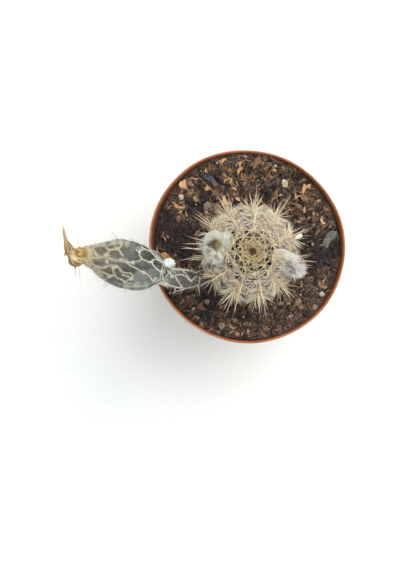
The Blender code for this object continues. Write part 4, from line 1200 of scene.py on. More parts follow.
RIB_AREOLES = [areoles_of(rib) for rib in range(len(RIB_AZIMUTHS))]
AREOLES = [(rib, along) for rib, spots in enumerate(RIB_AREOLES) for along in spots]
HOLE_RADIUS = stem_profile(QUARTER + DOME_CENTRE - POT_HEIGHT)[0] + SEAT_GAP


def skin_point(rib, azimuth, along, crest):
    """A point of the ribbed skin. The crest is 1 on a rib's edge and 0 in the valley beside it."""
    radius, height, rise = stem_profile(along)
    grown = clamp(along / RIB_START) * clamp((height - BURIED_TOP) / (RIB_END - BURIED_TOP))
    bump = sum(exp(-(((along - spot) / TUBERCLE_LENGTH) ** 2)) for spot in RIB_AREOLES[rib])
    relief = TUBERCLE * (bump - 0.5) * crest**2 - RIB_DEPTH * (1 - crest)
    return on_axis(azimuth, radius, height) + direction(azimuth, rise) * relief * grown


def stem_grid_point(ring, turn):
    """(nearest rib, azimuth, distance from the tip, crest) at a ring and turn of the stem's mesh."""
    ribs = len(RIB_AZIMUTHS)
    steps = round(turn * ribs * STEM_STEPS_PER_RIB) % (ribs * STEM_STEPS_PER_RIB)
    rib, step = divmod(steps, STEM_STEPS_PER_RIB)
    part = step / STEM_STEPS_PER_RIB
    after = (rib + 1) % ribs
    azimuth = radians(RIB_AZIMUTHS[rib] + (RIB_AZIMUTHS[after] - RIB_AZIMUTHS[rib]) % 360 * part)
    crest = (0.5 + 0.5 * cos(TURN * part)) ** RIB_ROUNDNESS
    return rib if part < 0.5 else after, azimuth, SHOWN_LENGTH * min(1, ring / STEM_SHOWN_RINGS), crest


def build_stem():
    """The ribbed skin and the blunt root under it. Gives the search tree of its faces."""

    def place(ring, turn):
        rib, azimuth, along, crest = stem_grid_point(ring, turn)
        if ring <= STEM_SHOWN_RINGS:
            spot = skin_point(rib, azimuth, along, crest)
            wrinkle = noise.noise(spot / (0.9 * MM)) * 0.07 * MM
            return spot + direction(azimuth, stem_profile(along)[2]) * wrinkle, 1 - crest, along / MM
        share = (ring - STEM_SHOWN_RINGS) / (ROOT_RINGS + 1)
        radius = stem_profile(SHOWN_LENGTH)[0] * cos(share**2 * pi / 2)
        height = BURIED_TOP - (BURIED_TOP - ROOT_TIP) * sin(share * pi / 2)
        return on_axis(azimuth, radius, height), 1 - crest, along / MM

    sides = STEM_STEPS_PER_RIB * len(RIB_AZIMUTHS)
    mesh = shaped_ball(sides, STEM_SHOWN_RINGS + ROOT_RINGS + 1, place, "hollow", "from_tip")
    # where the skin takes painted shadow in the pockets near the tip
    write_mark(mesh, "pocket_shadow", depths(mesh, SEEN_SHADOW_POCKETS))
    add_piece("stem_skin", mesh, "stem_skin", "cactus")
    return tree_of(mesh)


def areole_frame(rib, along):
    """(foot, outward, down the rib, sideways) at an areole."""
    azimuth = radians(RIB_AZIMUTHS[rib])
    rise = stem_profile(along)[2]
    down_rib = direction(azimuth, rise - pi / 2)
    side = UP.cross(direction(azimuth))
    return skin_point(rib, azimuth, along, 1), direction(azimuth, rise), down_rib, side


def radial_spines(skin, obstacles):
    """Fine pale spines that fan out from each areole and arch over the valleys, and down between the ribs."""
    draw = Draws(41)
    for rib, along in AREOLES:
        foot, outward, down_rib, side = areole_frame(rib, along)
        grown = clamp((along + 1.6 * MM) / (9 * MM)) ** 0.8
        flank = clamp((along - 11 * MM) / (7 * MM))
        golden = clamp(1.1 - along / (6.5 * MM))
        root = foot - outward * 0.12 * MM
        bearings = RADIAL_BEARINGS[:: 2 if along < 5 * MM else 1]
        for bearing in [sign * bearing for bearing in bearings for sign in (1, -1)]:
            turned_by = radians(bearing + draw(-10, 10))
            tilt = radians(draw(4, 14) + 20 * (1 - grown) + flank * draw(0, 18))
            level = down_rib * cos(turned_by) + side * sin(turned_by)
            reach = 2.7 + (1.7 + 0.5 * flank) * abs(sin(turned_by))
            length = reach * MM * grown * draw(0.8, 1.12)
            way = (level * cos(tilt) + outward * sin(tilt)) * length
            tint = clamp(golden + flank * draw(-0.3, 0.5) + draw(-0.15, 0.12))
            radius = draw(0.08, 0.115) * MM * (1.15 if along < 6 * MM else 1)
            if is_clear(root, way, (0.6, 1), obstacles):
                yield hair(root, root + way, outward * length * draw(0.1, 0.17), radius, tint)
        for n in range(6 if along > 9 * MM else 0):
            if n < 4:
                lean = (1 - 2 * (n % 2)) * draw(0.9, 2)
                aim = outward * draw(0.25, 0.8) + side * lean + down_rib * draw(-0.7, 0.7)
                length = draw(3.8, 5) * MM
            else:
                aim = outward + side * draw(-1.6, 1.6) + down_rib * draw(-0.2, 0.7)
                length = draw(3, 6) * MM
            way = aim.normalized() * length
            if is_clear(root, way, (0.6, 1), obstacles):
                radius = draw(0.08, 0.115) * MM
                tint = clamp(draw(-0.6, 0.8))
                yield hair(root, root + way, UP * length * draw(0, 0.08), radius, tint)
    for _ in range(DOWN_HAIRS):
        radius, height, _ = stem_profile(draw(11.5, 19) * MM)
        root, normal, _, _ = skin.find_nearest(on_axis(draw(0, TURN), radius - MM, height))
        aim = (normal + draw.sway(0.6)).normalized()
        length = draw(1, 2.2) * MM
        if is_clear(root, aim * length, (1,), obstacles):
            tint = clamp(draw(-0.3, 0.7))
            yield hair(root, root + aim * length, UP * length * draw(-0.1, 0.1), 0.055 * MM, tint)


def seen_spine(skin, obstacles, root_pixel, tip_pixel, tint, draw):
    """A long spine whose root and tip show at two pixels. It rises less than the skin's normal there."""
    root, normal = spot_seen(skin, root_pixel)
    if root is None:
        return []
    rise = 0.36 * asin(max(-1.0, min(1.0, normal.z))) + radians(draw(-5, 5))
    tip = spot_at_height(tip_pixel, root.z)
    for _ in range(3):
        tip = spot_at_height(tip_pixel, root.z + (tip - root).xy.length * tan(rise))
    bend = (root + tip) / 2 + UP * (tip - root).length * draw(0, 0.05)
    if not is_clear(root, tip - root, (0.3, 0.5, 0.7, 0.85, 1), obstacles):
        return []
    return [(root - normal * 0.5 * MM, bend, tip, 0.17 * MM, tint)]


def long_spines(skin, obstacles):
    """The long spines: those that the photograph shows, and shorter ones all round the flank."""
    draw = Draws(7)
    for root_pixel, tip_pixel in SEEN_LONG_SPINES:
        yield from seen_spine(skin, obstacles, root_pixel, tip_pixel, draw(0, 0.9), draw)
    for spines, height, radius, tints in (
        (SEEN_LOW_SPINES, 60.5 * MM, 0.15 * MM, (0, 0.4)),
        (SEEN_RED_SPINES, 62.5 * MM, 0.13 * MM, (0.3, 0.7)),
    ):
        for root_pixel, tip_pixel in spines:
            tint = draw(*tints)
            tip = spot_at_height(tip_pixel, height + draw(0.3, 2.2) * MM)
            yield hair(spot_at_height(root_pixel, height), tip, UP * 0.3 * MM, radius, tint)
    for rib, along in AREOLES:
        if along < RIB_AREOLES[rib][3]:
            continue
        foot, outward, down_rib, side = areole_frame(rib, along)
        flank = clamp((along - 10 * MM) / (12 * MM))
        for _ in range(2 if along > 9 * MM else 1):
            aim = outward + side * draw(-1.3, 1.3) + down_rib * draw(-0.2, 0.6)
            aim = (aim + direction(radians(RIB_AZIMUTHS[rib])) * (1 - flank)).normalized()
            length = (7.4 - 1.6 * flank) * MM * draw(0.5, 1.1)
            radius = draw(0.08, 0.12) * MM
            tint = draw(0, 1)
            if is_clear(foot, aim * length, (0.3, 0.6, 1), obstacles):
                root = foot - outward * 0.3 * MM
                yield hair(root, root + aim * length, UP * length * draw(0, 0.06), radius, tint)


def crown_spines():
    """The golden spines leaning outwards round the stem's tip, short and reddish brown in the middle."""
    draw = Draws(19)
    for _ in range(CROWN_HAIRS):
        along = (0.1 + 1.7 * draw.random()) * MM
        azimuth = draw(0, TURN)
        radius, height, _ = stem_profile(along)
        foot = on_axis(azimuth, radius, height - 0.1 * MM)
        out = direction(azimuth + draw(-0.5, 0.5))
        brown = clamp(1.5 - along / (0.8 * MM) + draw.gauss(0, 0.3))
        aim = (UP * draw(0.35, 1) + out * clamp(along / MM) * 1.2).normalized()
        length = (draw(1, 2.6) - 0.6 * brown) * MM
        tint = clamp(brown + 0.3 * clamp(1.5 - along / MM) + draw(-0.1, 0.2))
        yield hair(foot, foot + aim * length, UP * length * 0.06, draw(0.05, 0.08) * MM, tint)


def areole_wool():
    """A small cushion of curly wool at each areole."""
    draw = Draws(29)
    for rib, along in AREOLES:
        foot, outward, down_rib, side = areole_frame(rib, along)
        grown = clamp(0.5 + along / (8 * MM)) * (1 - 0.3 * clamp((along - 12 * MM) / (12 * MM)))
        golden = clamp(0.9 - along / (14 * MM))
        for _ in range(AREOLE_HAIRS):
            angle = draw(0, TURN)
            spread = sqrt(draw.random())
            level = down_rib * cos(angle) * 1.35 + side * sin(angle)
            root = foot + level * 0.52 * MM * spread * grown - outward * 0.1 * MM
            aim = (outward * 0.8 + level * spread * 1.1).normalized()
            tip = root + aim * draw(0.4, 0.85) * MM * grown
            curl = Vector(draw(-0.25, 0.25) * MM for _ in range(3))
            yield hair(root, tip, curl, 0.042 * MM, golden * draw(0.4, 1))


# Potting mix


def soil_height(x, y):
    """The soil's surface: it slopes with SOIL_DEPTHS and is lumpy."""
    azimuth = atan2(y, x)
    reach = min(1.0, hypot(x, y) / RIM_RADIUS)
    shares = [max(0.0, cos(azimuth - n * pi / 2)) ** 2 for n in range(4)]
    at_side = sum(share * depth for share, depth in zip(shares, SOIL_DEPTHS))
    broad = noise.noise(Vector((x, y, 0)) / (3.1 * MM))
    fine = noise.noise(Vector((x, y, 4 * MM)) / (1.4 * MM))
    lumps = SOIL_LUMP * (broad + 0.6 * fine) * clamp(4 - 3.4 * reach)
    return POT_HEIGHT - SOIL_MIDDLE - (at_side - SOIL_MIDDLE) * reach**1.5 + lumps


def soil_grain(x, y):
    """Crumbs and crevices in the soil's surface."""
    spot = Vector((x, y, 0))
    near = noise.voronoi(spot / (1.5 * MM))[0]
    small = noise.voronoi(spot / (0.6 * MM) + Vector((7, 3, 1)))[0]
    rough = noise.fractal(spot / (0.9 * MM), 0.7, 2.1, 3)
    return (0.75 * (0.42 - near[0]) + 0.3 * (0.4 - small[0]) + 0.22 * rough) * MM


def damp_and_shadow_at(spot):
    """How deep a place lies in the soil's damp places and painted shadows, from 0 to 1."""
    return clamp(1.5 * spot_depth(spot, DAMP_AND_SHADOW_PLACES))


def build_soil():
    """The plug of soil with its crumbly surface, round a plain hole for the stem's foot.

    Gives the search tree of its faces.
    """
    bottom = FLOOR + SEAT_GAP
    lowest_top = LEDGE_HEIGHT + 1.4 * MM
    hole_bottom = ROOT_TIP - SEAT_GAP
    hole_heights = (hole_bottom, (hole_bottom + BURIED_TOP) / 2, BURIED_TOP)
    wall_heights = (lowest_top - 0.3 * MM, LEDGE_HEIGHT - 0.2 * MM, POT_HEIGHT / 2,
                    bottom + FOOT_FILLET, bottom)
    first_top = 1 + len(hole_heights)
    first_wall = first_top + SOIL_SURFACE_RINGS + 1
    last = first_wall + len(wall_heights)

    def place(ring, turn):
        way = direction(TURN * turn)
        start = STEM_AXIS + way * HOLE_RADIUS
        if ring == 0:
            return STEM_AXIS + UP * hole_bottom, 0
        if ring < first_top:
            return start + UP * hole_heights[ring - 1], 0
        if ring < first_wall:
            share = (ring - first_top) / SOIL_SURFACE_RINGS
            edge = way * inner_wall_radius(POT_HEIGHT - 2 * MM)
            edge = way * (inner_wall_radius(soil_height(edge.x, edge.y)) - 0.16 * MM)
            spot = start.lerp(edge, share)
            grain = soil_grain(spot.x, spot.y) * clamp(8 - 7.6 * share)
            spot.z = max(soil_height(spot.x, spot.y) + grain, lowest_top)
            return spot, grain / MM
        if ring == last:
            return UP * bottom, 0
        height = wall_heights[ring - first_wall]
        radius = inner_wall_radius(max(height, FLOOR + FOOT_FILLET)) - 1.3 * SEAT_GAP
        if height == bottom:
            radius -= FOOT_FILLET
        return way * radius + UP * height, 0

    mesh = shaped_ball(SOIL_SIDES, last, place, "raised")
    for vert in mesh.vertices:
        vert.co = squeezed(vert.co)
    # nearly black damp places and painted shadows of the soil
    write_mark(mesh, "wet_and_shadowed", [damp_and_shadow_at(vert.co) for vert in mesh.vertices])
    add_piece("soil_bed", mesh, "damp_peat", "soil")
    return tree_of(mesh)


def angular_crumb():
    """A crumb with flat faces, one unit across."""
    bm = bmesh.new()
    bmesh.ops.create_icosphere(bm, subdivisions=1, radius=0.5)
    return new_mesh("crumb", bm)


def rounded_crumb():
    """A lumpy crumb without corners, about one unit across."""
    bm = bmesh.new()
    bmesh.ops.create_icosphere(bm, subdivisions=3, radius=0.5)
    for vert in bm.verts:
        vert.co *= 1 + 0.5 * noise.noise(vert.co * 3.1) + 0.22 * noise.noise(vert.co * 8)
    return new_mesh("rounded", bm)


def flat_chip():
    """A broken chip with corners, one unit long, wide and thick."""
    bm = bmesh.new()
    bmesh.ops.create_cube(bm, size=0.85)
    bmesh.ops.subdivide_edges(bm, edges=bm.edges[:], cuts=1, use_grid_fill=True)
    for vert in bm.verts:
        vert.co *= 1 + 0.5 * noise.noise(vert.co * 5.1)
    return new_mesh("chip", bm)


def split_shard():
    """A thin split and bent strip of bark, one unit long, wide and thick."""
    bm = bmesh.new()
    bmesh.ops.create_cube(bm, size=1)
    long_edges = [edge for edge in bm.edges if abs(edge.verts[0].co.x - edge.verts[1].co.x) > 0.5]
    bmesh.ops.subdivide_edges(bm, edges=long_edges, cuts=3, use_grid_fill=True)
    for vert in bm.verts:
        along = 2 * vert.co.x
        taper = 1 - 0.7 * abs(along) ** 3
        vert.co.y = vert.co.y * taper + 0.9 * (1 - along**2) - 0.45
        vert.co.z = vert.co.z * taper + 0.5 * (1 - along**2)
    return new_mesh("shard", bm)


def soil_spot(surface, draw, lean):
    """A random place on the soil. A lean makes the +Y side likelier, or, below zero, the -Y side."""
    while True:
        spot = direction(draw(0, TURN)) * (RIM_RADIUS - 1.6 * MM) * sqrt(draw.random())
        if (spot - STEM_AXIS).length < HOLE_RADIUS + 0.5 * MM:
            continue
        if draw.random() < abs(lean) * (0.5 - copysign(0.5, lean) * spot.y / RIM_RADIUS):
            continue
        found, normal, _, _ = surface.ray_cast(spot + UP * 2 * POT_HEIGHT, -UP)
        if found is not None:
            return found, normal


def laid(spot, normal, size, heading, draw, tumble, sink):
    """The matrix of a chip that lies on the soil, turned to a heading and a little tipped."""
    flat = UP.lerp(normal, 0.6).rotation_difference(UP).inverted()
    turned_by = flat @ Quaternion(UP, heading)
    tipped = turned_by @ Quaternion((0, 1, 0), draw(-tumble, tumble))
    rolled = tipped @ Quaternion((1, 0, 0), draw(-tumble, tumble))
    return Matrix.LocRotScale(spot + UP * size.z * (0.5 - sink), rolled, size)


# Scattered over the soil: piece, finish, shape, count, lengths in mm, widths and thicknesses as shares
# of the length, lowest tint, lean to the +Y side, tumble, and how much the corners are pushed about
SCATTERED = (
    ("peat_crumbs", "peat_crumb", flat_chip, 1500, (0.35, 1.2), (0.5, 1), (0.4, 0.9), 0, 0, 0.8, 0.3),
    ("bark_crumbs", "bark_crumb", flat_chip, 1150, (0.4, 1.9), (0.35, 0.9), (0.25, 0.6), 0, 0.2, 0.7, 0.34),
    ("soft_lumps", "soft_lump", angular_crumb, 230, (1, 2.6), (0.4, 0.8), (0.3, 0.5), 0, -0.9, 0.4, 0.3),
    ("bark_shards", "bark_shard", split_shard, 1050, (0.8, 2.8), (0.1, 0.3), (0.08, 0.16), 0, 0.8, 0.45, 0.3),
    ("grit_grains", "grit", flat_chip, 170, (0.25, 0.7), (0.7, 1), (0.6, 0.9), 0.2, 0, 0.6, 0.25),
    ("perlite_grains", "perlite_grain", flat_chip, 45, (0.2, 0.5), (0.8, 1), (0.7, 1), 0.2, 0, 0.6, 0.2),
)
# The lone things on the soil: piece, finish, shape and where they lie
LONE_THINGS = (
    ("large_bark_shards", "bark_shard", split_shard, SEEN_SHARDS),
    ("large_grit", "grit", rounded_crumb, SEEN_GRIT),
    ("orange_crumb", "orange_crumb", rounded_crumb, SEEN_ORANGE),
    ("dark_bark", "dark_bark", flat_chip, SEEN_DARK),
    ("grey_flake", "grey_flake", rounded_crumb, SEEN_GREY_FLAKE),
)


def scattered(surface, draw, count, lengths, widths, heights, lowest_tint, lean, tumble):
    """Chips or crumbs of one kind, scattered over the soil, fewer and mostly darker in its damp places and
    painted shadows.
    """
    for _ in range(count):
        spot, normal = soil_spot(surface, draw, lean)
        damp_and_shadow = damp_and_shadow_at(spot)
        if draw.random() < 0.8 * damp_and_shadow:
            continue
        length = (draw(*lengths) if draw.random() < 0.75 else lengths[0]) * MM
        size = Vector((length, length * draw(*widths), length * draw(*heights)))
        matrix = laid(spot, normal, size, draw(0, TURN), draw, tumble, 0.2)
        # crumbs darker in the damp places and painted shadows
        dimmed = 0.95 * damp_and_shadow if draw.random() < 0.8 else 0
        yield matrix, clamp(draw(lowest_tint, 1) * (1 - dimmed))


def build_crumbs(surface):
    """Everything that lies scattered in the soil's surface."""
    draw = Draws(3)
    for seed, (name, finish, shape, *kind, jitter) in enumerate(SCATTERED):
        add_crumbs(name, finish, shape(), scattered(surface, draw, *kind), jitter, seed)


def build_seen_crumbs(surface):
    """The lone chips, stones and fibres that the photograph shows, and finer fibres all over."""
    draw = Draws(13)
    for seed, (name, finish, shape, things) in enumerate(LONE_THINGS, 50):
        crumbs = []
        for x, y, *size, heading, tint in things:
            spot, normal = spot_seen(surface, (x, y))
            matrix = laid(spot, normal, Vector(size) * MM, radians(heading), draw, 0.15, 0.1)
            crumbs.append((matrix, tint))
        add_crumbs(name, finish, shape(), crumbs, 0.15, seed)
    fibres = []
    for radius, *pixels in SEEN_FIBRES:
        spots = [spot + UP * (0.2 + radius) * MM for spot in spots_seen(surface, pixels)]
        fibres.append(through(spots, radius * MM, 0))
    for _ in range(ROOT_FIBRES):
        spot, _ = soil_spot(surface, draw, 0.6)
        aim = direction(draw(0, TURN), draw(0, 0.25))
        length = draw(0.8, 3) * MM
        curl = Vector((draw(-1, 1), draw(-1, 1), 0.3)) * MM
        root = spot + UP * 0.1 * MM
        # root fibres darker in the soil's damp places and painted shadows
        tint = clamp(draw(-0.3, 0.9) + 1.4 * spot_depth(spot, DAMP_AND_SHADOW_PLACES))
        fibres.append(hair(root, root + aim * length, curl, draw(0.05, 0.12) * MM, tint))
    add_hairs("root_fibres", fibres, "root_fibre", 4)


# Seed pod


def yellow_at(spot, start=26, width=10):
    """How yellow the wool is, from 0 near the stem to 1 from start to start + width mm towards -X."""
    return clamp((-spot.x / MM - start) / width)


def is_hidden(skin, route, share, angle):
    """Whether the camera can't see this place of the pod."""
    spot = route.skin(share, angle)
    hit = skin.ray_cast(CAMERA_PLACE, (spot - CAMERA_PLACE).normalized())[0]
    return hit is None or (hit - spot).length > 1.1 * MM


def pod_lines(skin, route):
    """The net's lines, each (radius, points): those seen, and a brick-like net underneath."""
    lines = []
    for radius, *pixels in SEEN_NET:
        spots = spots_seen(skin, pixels)
        if len(spots) > 1:
            share = 0.52 + 0.33 * clamp((pixels[0][0] - 128) / 15)
            lines.append((share * radius * MM, smooth_line(spots, NET_STEP)))
    draw = Draws(31)
    knots = {}
    for row in range(NET_ROWS):
        for column in range(NET_COLUMNS):
            zig = 0.028 if (row + column) % 2 else -0.028
            share = 0.13 + 0.83 * row / (NET_ROWS - 1) + zig + draw(-0.014, 0.014)
            angle = TURN * (column + draw(-0.25, 0.25)) / NET_COLUMNS
            knots[row, column] = (clamp(share), angle)
    for (row, column), start in knots.items():
        ends = [(row, (column + 1) % NET_COLUMNS)]
        if (row + column) % 2:
            ends.append((row + 1, column))
        for end in (knots[key] for key in ends if key in knots):
            along = end[0] - start[0]
            swing = (end[1] - start[1] + pi) % TURN - pi
            places = [(start[0] + along * k / 4, start[1] + swing * k / 4) for k in range(5)]
            if is_hidden(skin, route, *places[0]) and is_hidden(skin, route, *places[2]):
                spots = [route.skin(*place) for place in places]
                lines.append((draw(0.09, 0.15) * MM, smooth_line(spots, NET_STEP)))
    return lines


def pod_mesh(route, relief):
    """The pod's skin with distances along the pod and from the net. relief(spot) gives (rise, distance)."""

    def place(ring, turn):
        share = clamp((ring - 1) / (POD_RINGS - 2))
        centre = route.at(share)[0]
        if ring in (0, POD_RINGS):
            return centre, share, 0
        spot = route.skin(share, TURN * turn)
        rise, distance = relief(spot)
        return spot + (spot - centre).normalized() * rise, share, distance / MM

    return shaped_ball(POD_SIDES, POD_RINGS, place, "from_stem", "to_net")


def build_pod():
    """The pod: skin that bulges in each cell of its raised net, the net, its wool and bristles.

    Gives the search tree of its faces.
    """
    middle_line = [STEM_AXIS + Vector(spot) * MM for *spot, _ in POD_ROUTE]
    route = Route(middle_line, [radius * MM for *_, radius in POD_ROUTE])
    skin = tree_of(pod_mesh(route, lambda spot: (0, 0)))
    lines = pod_lines(skin, route)
    points = [(point, radius) for radius, line in lines for point in line]
    near_net = KDTree(len(points))
    for n, (point, _) in enumerate(points):
        near_net.insert(point, n)
    near_net.balance()

    def relief(spot):
        _, nearest, distance = near_net.find(spot)
        distance = max(0.0, distance - points[nearest][1])
        pillow = 1 - exp(-((distance / CELL_EDGE) ** 2))
        return CELL_BULGE * (pillow - 0.6) + 0.12 * MM * noise.noise(spot / (1.3 * MM)), distance

    mesh = pod_mesh(route, relief)
    write_mark(mesh, "tone", depths(mesh, POD_PALE) - depths(mesh, POD_DARK))
    write_mark(mesh, "veil", depths(mesh, POD_VEIL))
    add_piece("pod_skin", mesh, "pod_skin", "seed_pod")
    surface = tree_of(mesh)
    add_piece("pod_net", cords_mesh(lines, surface), "pod_net")
    add_piece("pod_knots", knot_pads(surface), "knot_pad")
    wool = [*knot_wool(surface, lines), *net_wool(surface, lines)]
    add_hairs("pod_knot_wool", wool, "knot_wool", 2)
    add_hairs("pod_bristles", pod_bristles(surface, lines), "pod_bristle", 4)
    add_hairs("pod_down", pod_down(route, surface), "knot_wool", 2)
    return surface


def cords_mesh(lines, surface):
    """Uneven cords along lines, each (radius, points), half sunk in a surface."""
    curve = bpy.data.curves.new("cords", "CURVE")
    curve.dimensions = "3D"
    curve.bevel_depth = 1
    curve.bevel_resolution = 1
    curve.use_fill_caps = True
    for radius, line in lines:
        spline = curve.splines.new("POLY")
        spline.points.add(len(line) - 1)
        for n, (point, spot) in enumerate(zip(spline.points, line)):
            near, normal, _, _ = surface.find_nearest(spot)
            point.co = (*(near + normal * radius * 0.2), 1)
            at_end = 0.4 * exp(-min(n, len(line) - 1 - n) / 2)
            point.radius = radius * (1 + at_end + 0.7 * noise.noise(spot / (0.7 * MM)))
    bm = bmesh.new()
    bm.from_mesh(evaluated(linked("cords", curve)))
    bmesh.ops.remove_doubles(bm, verts=bm.verts, dist=0.002 * MM)
    return new_mesh("cords", bm)


def tuft(surface, spot, count, size, tint, draw):
    """A small dense tuft of wool on a surface."""
    near, normal, _, _ = surface.find_nearest(spot)
    for _ in range(count):
        away = across(draw.sway(0.42), normal)
        root = near + away * size * 0.9
        aim = (normal + away * 0.9 + draw.sway(0.3)).normalized()
        tip = root + aim * size * draw(0.35, 0.7)
        bend = (root + tip) / 2 + draw.sway(0.14) * size
        tone = clamp(tint + draw(-0.2, 0.2))
        yield root - normal * 0.1 * MM, bend, tip, 0.05 * MM, tone


def knot_pads(surface):
    """The lumpy cushions at the net's knots, under their wool."""
    draw = Draws(67)
    pads = []
    for size, pixel in SEEN_KNOTS:
        spot, normal = spot_seen(surface, pixel)
        for _ in range(3):
            away = draw.sway(0.2) * size * MM
            turn = UP.rotation_difference(normal) @ Quaternion(UP, draw(0, TURN))
            scale = Vector((draw(0.6, 1.2), 0.5, 0.32)) * size * MM
            matrix = Matrix.LocRotScale(spot + across(away, normal), turn, scale)
            pads.append((matrix, yellow_at(spot, 20, 12) * draw(0.5, 1)))
    return crumbs_mesh(rounded_crumb(), pads, 0.1, 71)


def knot_wool(surface, lines):
    """Wool at the net's knots."""
    draw = Draws(17)
    for size, pixel in SEEN_KNOTS:
        spot, _ = spot_seen(surface, pixel)
        tint = 0.1 + 0.7 * yellow_at(spot, 24)
        yield from tuft(surface, spot, round(110 * size), size * 0.75 * MM, tint, draw)
    for _, line in lines[len(SEEN_NET):]:
        if draw.random() < 0.35:
            yield from tuft(surface, line[0], 34, 0.55 * MM, 0.5, draw)


def net_wool(surface, lines):
    """Strands along the net's lines, and short wool that stands off them, longer towards the pod's tip."""
    draw = Draws(61)
    for radius, line in lines:
        for n, spot in enumerate(line):
            near, normal, _, _ = surface.find_nearest(spot)
            yellow = yellow_at(near)
            tint = clamp(0.1 + 0.7 * yellow + draw(-0.1, 0.2))
            for _ in range(3):
                away = across(draw.sway(0.6), normal)
                root = near + normal * radius * 0.4 + away * radius
                length = draw(0.15, 0.4) * (1 + yellow) * MM
                tip = root + (normal * 0.5 + away).normalized() * length
                yield hair(root, tip, draw.sway(0.06) * MM, 0.028 * MM, tint)
            reach = n + draw.randint(3, 7)
            if draw.random() < 0.75 and reach < len(line):
                spots = []
                for point in (spot, line[(n + reach) // 2], line[reach]):
                    on_skin, up, _, _ = surface.find_nearest(point)
                    swerve = draw.sway(0.1 + 0.1 * yellow) * MM
                    spots.append(on_skin + up * (radius + 0.04 * MM) + across(swerve, up))
                yield through(spots, draw(0.03, 0.055) * MM, tint)


def pod_down(route, surface):
    """Short pale down all over the pod."""
    draw = Draws(73)
    for _ in range(DOWN_ON_POD):
        near, normal, _, _ = surface.find_nearest(route.skin(draw(0.12, 1), draw(0, TURN)))
        aim = (normal + draw.sway(0.5)).normalized()
        tip = near + aim * draw(0.4, 1) * MM
        bow = draw.sway(0.08) * MM
        yield hair(near, tip, bow, 0.026 * MM, clamp(0.6 * yellow_at(near) + draw(-0.1, 0.3)))


def pod_bristles(surface, lines):
    """Thin bristles that stand out of the net, pale and longer at the neck, darker towards the pod's tip."""
    draw = Draws(43)
    seen = [(*pixels, 1.2, (0, 0, 0.4), 0.06, 1) for pixels in SEEN_BRISTLES]
    seen += [(*pixels, 0.4, (0.1, 0.4, 0.7), radius, 0) for *pixels, radius in SEEN_NECK_HAIRS]
    for root_pixel, tip_pixel, lift, bow, radius, tint in seen:
        root, _ = spot_seen(surface, root_pixel)
        if root is not None:
            tip = spot_at_height(tip_pixel, root.z + lift * MM)
            yield hair(root, tip, Vector(bow) * MM, radius * MM, tint)
    forward = Vector((-0.83, 0.1, 0.55))
    for _, line in lines:
        for _ in range(2):
            near, normal, _, _ = surface.find_nearest(draw.choice(line))
            at_neck = clamp((near.x / MM + 22) / 4)
            away = Vector(draw(-0.5, 0.5) for _ in range(3))
            aim = normal + forward * draw(0.2, 1) * (1 - 2 * at_neck * draw.random()) + away
            length = draw(1, 3.2) * MM
            tip = near + aim.normalized() * length
            radius = draw(0.028, 0.045) * (1 + at_neck) * MM
            yield hair(near, tip, normal * 0.15 * length, radius, draw(0, 1) * (1 - at_neck))


# Dried flower


def build_flower(pod):
    """The dried flower: a crumpled funnel with an amber heart, drawn out into a strand of shreds."""
    points = [spot_at_height((x, y), height * MM) for x, y, height, _ in FLOWER_TUBE]
    route = Route(points, [size * pixel_size(height * MM) for _, _, height, size in FLOWER_TUBE])
    opening, wide, high = FLOWER_OPENING

    def place(ring, turn):
        share = clamp((ring - 1) / (FLOWER_RINGS - 2))
        centre, side, up, radius = route.at(share)
        if ring in (0, FLOWER_RINGS):
            return centre, 0
        angle = TURN * turn
        round_way = Vector((2 * cos(angle), 2 * sin(angle), 9 * share))
        fold = 0.08 * sin(6 * angle + 9 * share) + 0.2 * noise.noise(round_way)
        spot = centre + (side * cos(angle) + up * sin(angle) * 0.62) * radius * (0.95 + fold)
        x, y = pixel_of(spot)
        dip = clamp(1.25 * (1 - ((x - opening[0]) / wide) ** 2 - ((y - opening[1]) / high) ** 2))
        dip *= clamp(3 * sin(angle))
        lower_edge = clamp(-2.8 * cos(angle) - 0.5) * clamp(9 * share - 1.4) * clamp(6 - 9 * share)
        return spot - up * dip * 0.75 * MM, max(dip, lower_edge)

    mesh = shaped_ball(FLOWER_SIDES, FLOWER_RINGS, place, "tint")
    add_piece("flower_funnel", mesh, "dried_petal", "flower_remains")
    surface = tree_of(mesh)
    folds = [
        (0.75 * radius * MM, smooth_line(spots_seen(surface, pixels), 0.3 * MM))
        for radius, *pixels in SEEN_FOLDS
    ]
    add_piece("flower_folds", cords_mesh(folds, surface), "petal_edge")
    build_amber_heart()
    add_hairs("flower_threads", flower_threads(route, surface, pod), "flower_thread", 4)


def build_amber_heart():
    """The lumpy amber middle of the dried flower."""
    pixel, height, size = AMBER_HEART
    bm = bmesh.new()
    bmesh.ops.create_icosphere(bm, subdivisions=4, radius=size * MM)
    away = []
    for vert in bm.verts:
        away.append(0.95 * hypot(vert.co.x / (size * MM) + 0.32, vert.co.y / (size * MM)) - 0.2)
        vert.co *= 1 + 0.2 * noise.noise(vert.co / (0.7 * MM))
        vert.co.z *= 0.5
    bmesh.ops.translate(bm, verts=bm.verts, vec=spot_at_height(pixel, height * MM))
    mesh = new_mesh("heart", bm)
    write_mark(mesh, "tint", away)
    add_piece("amber_heart", mesh, "amber_petal")


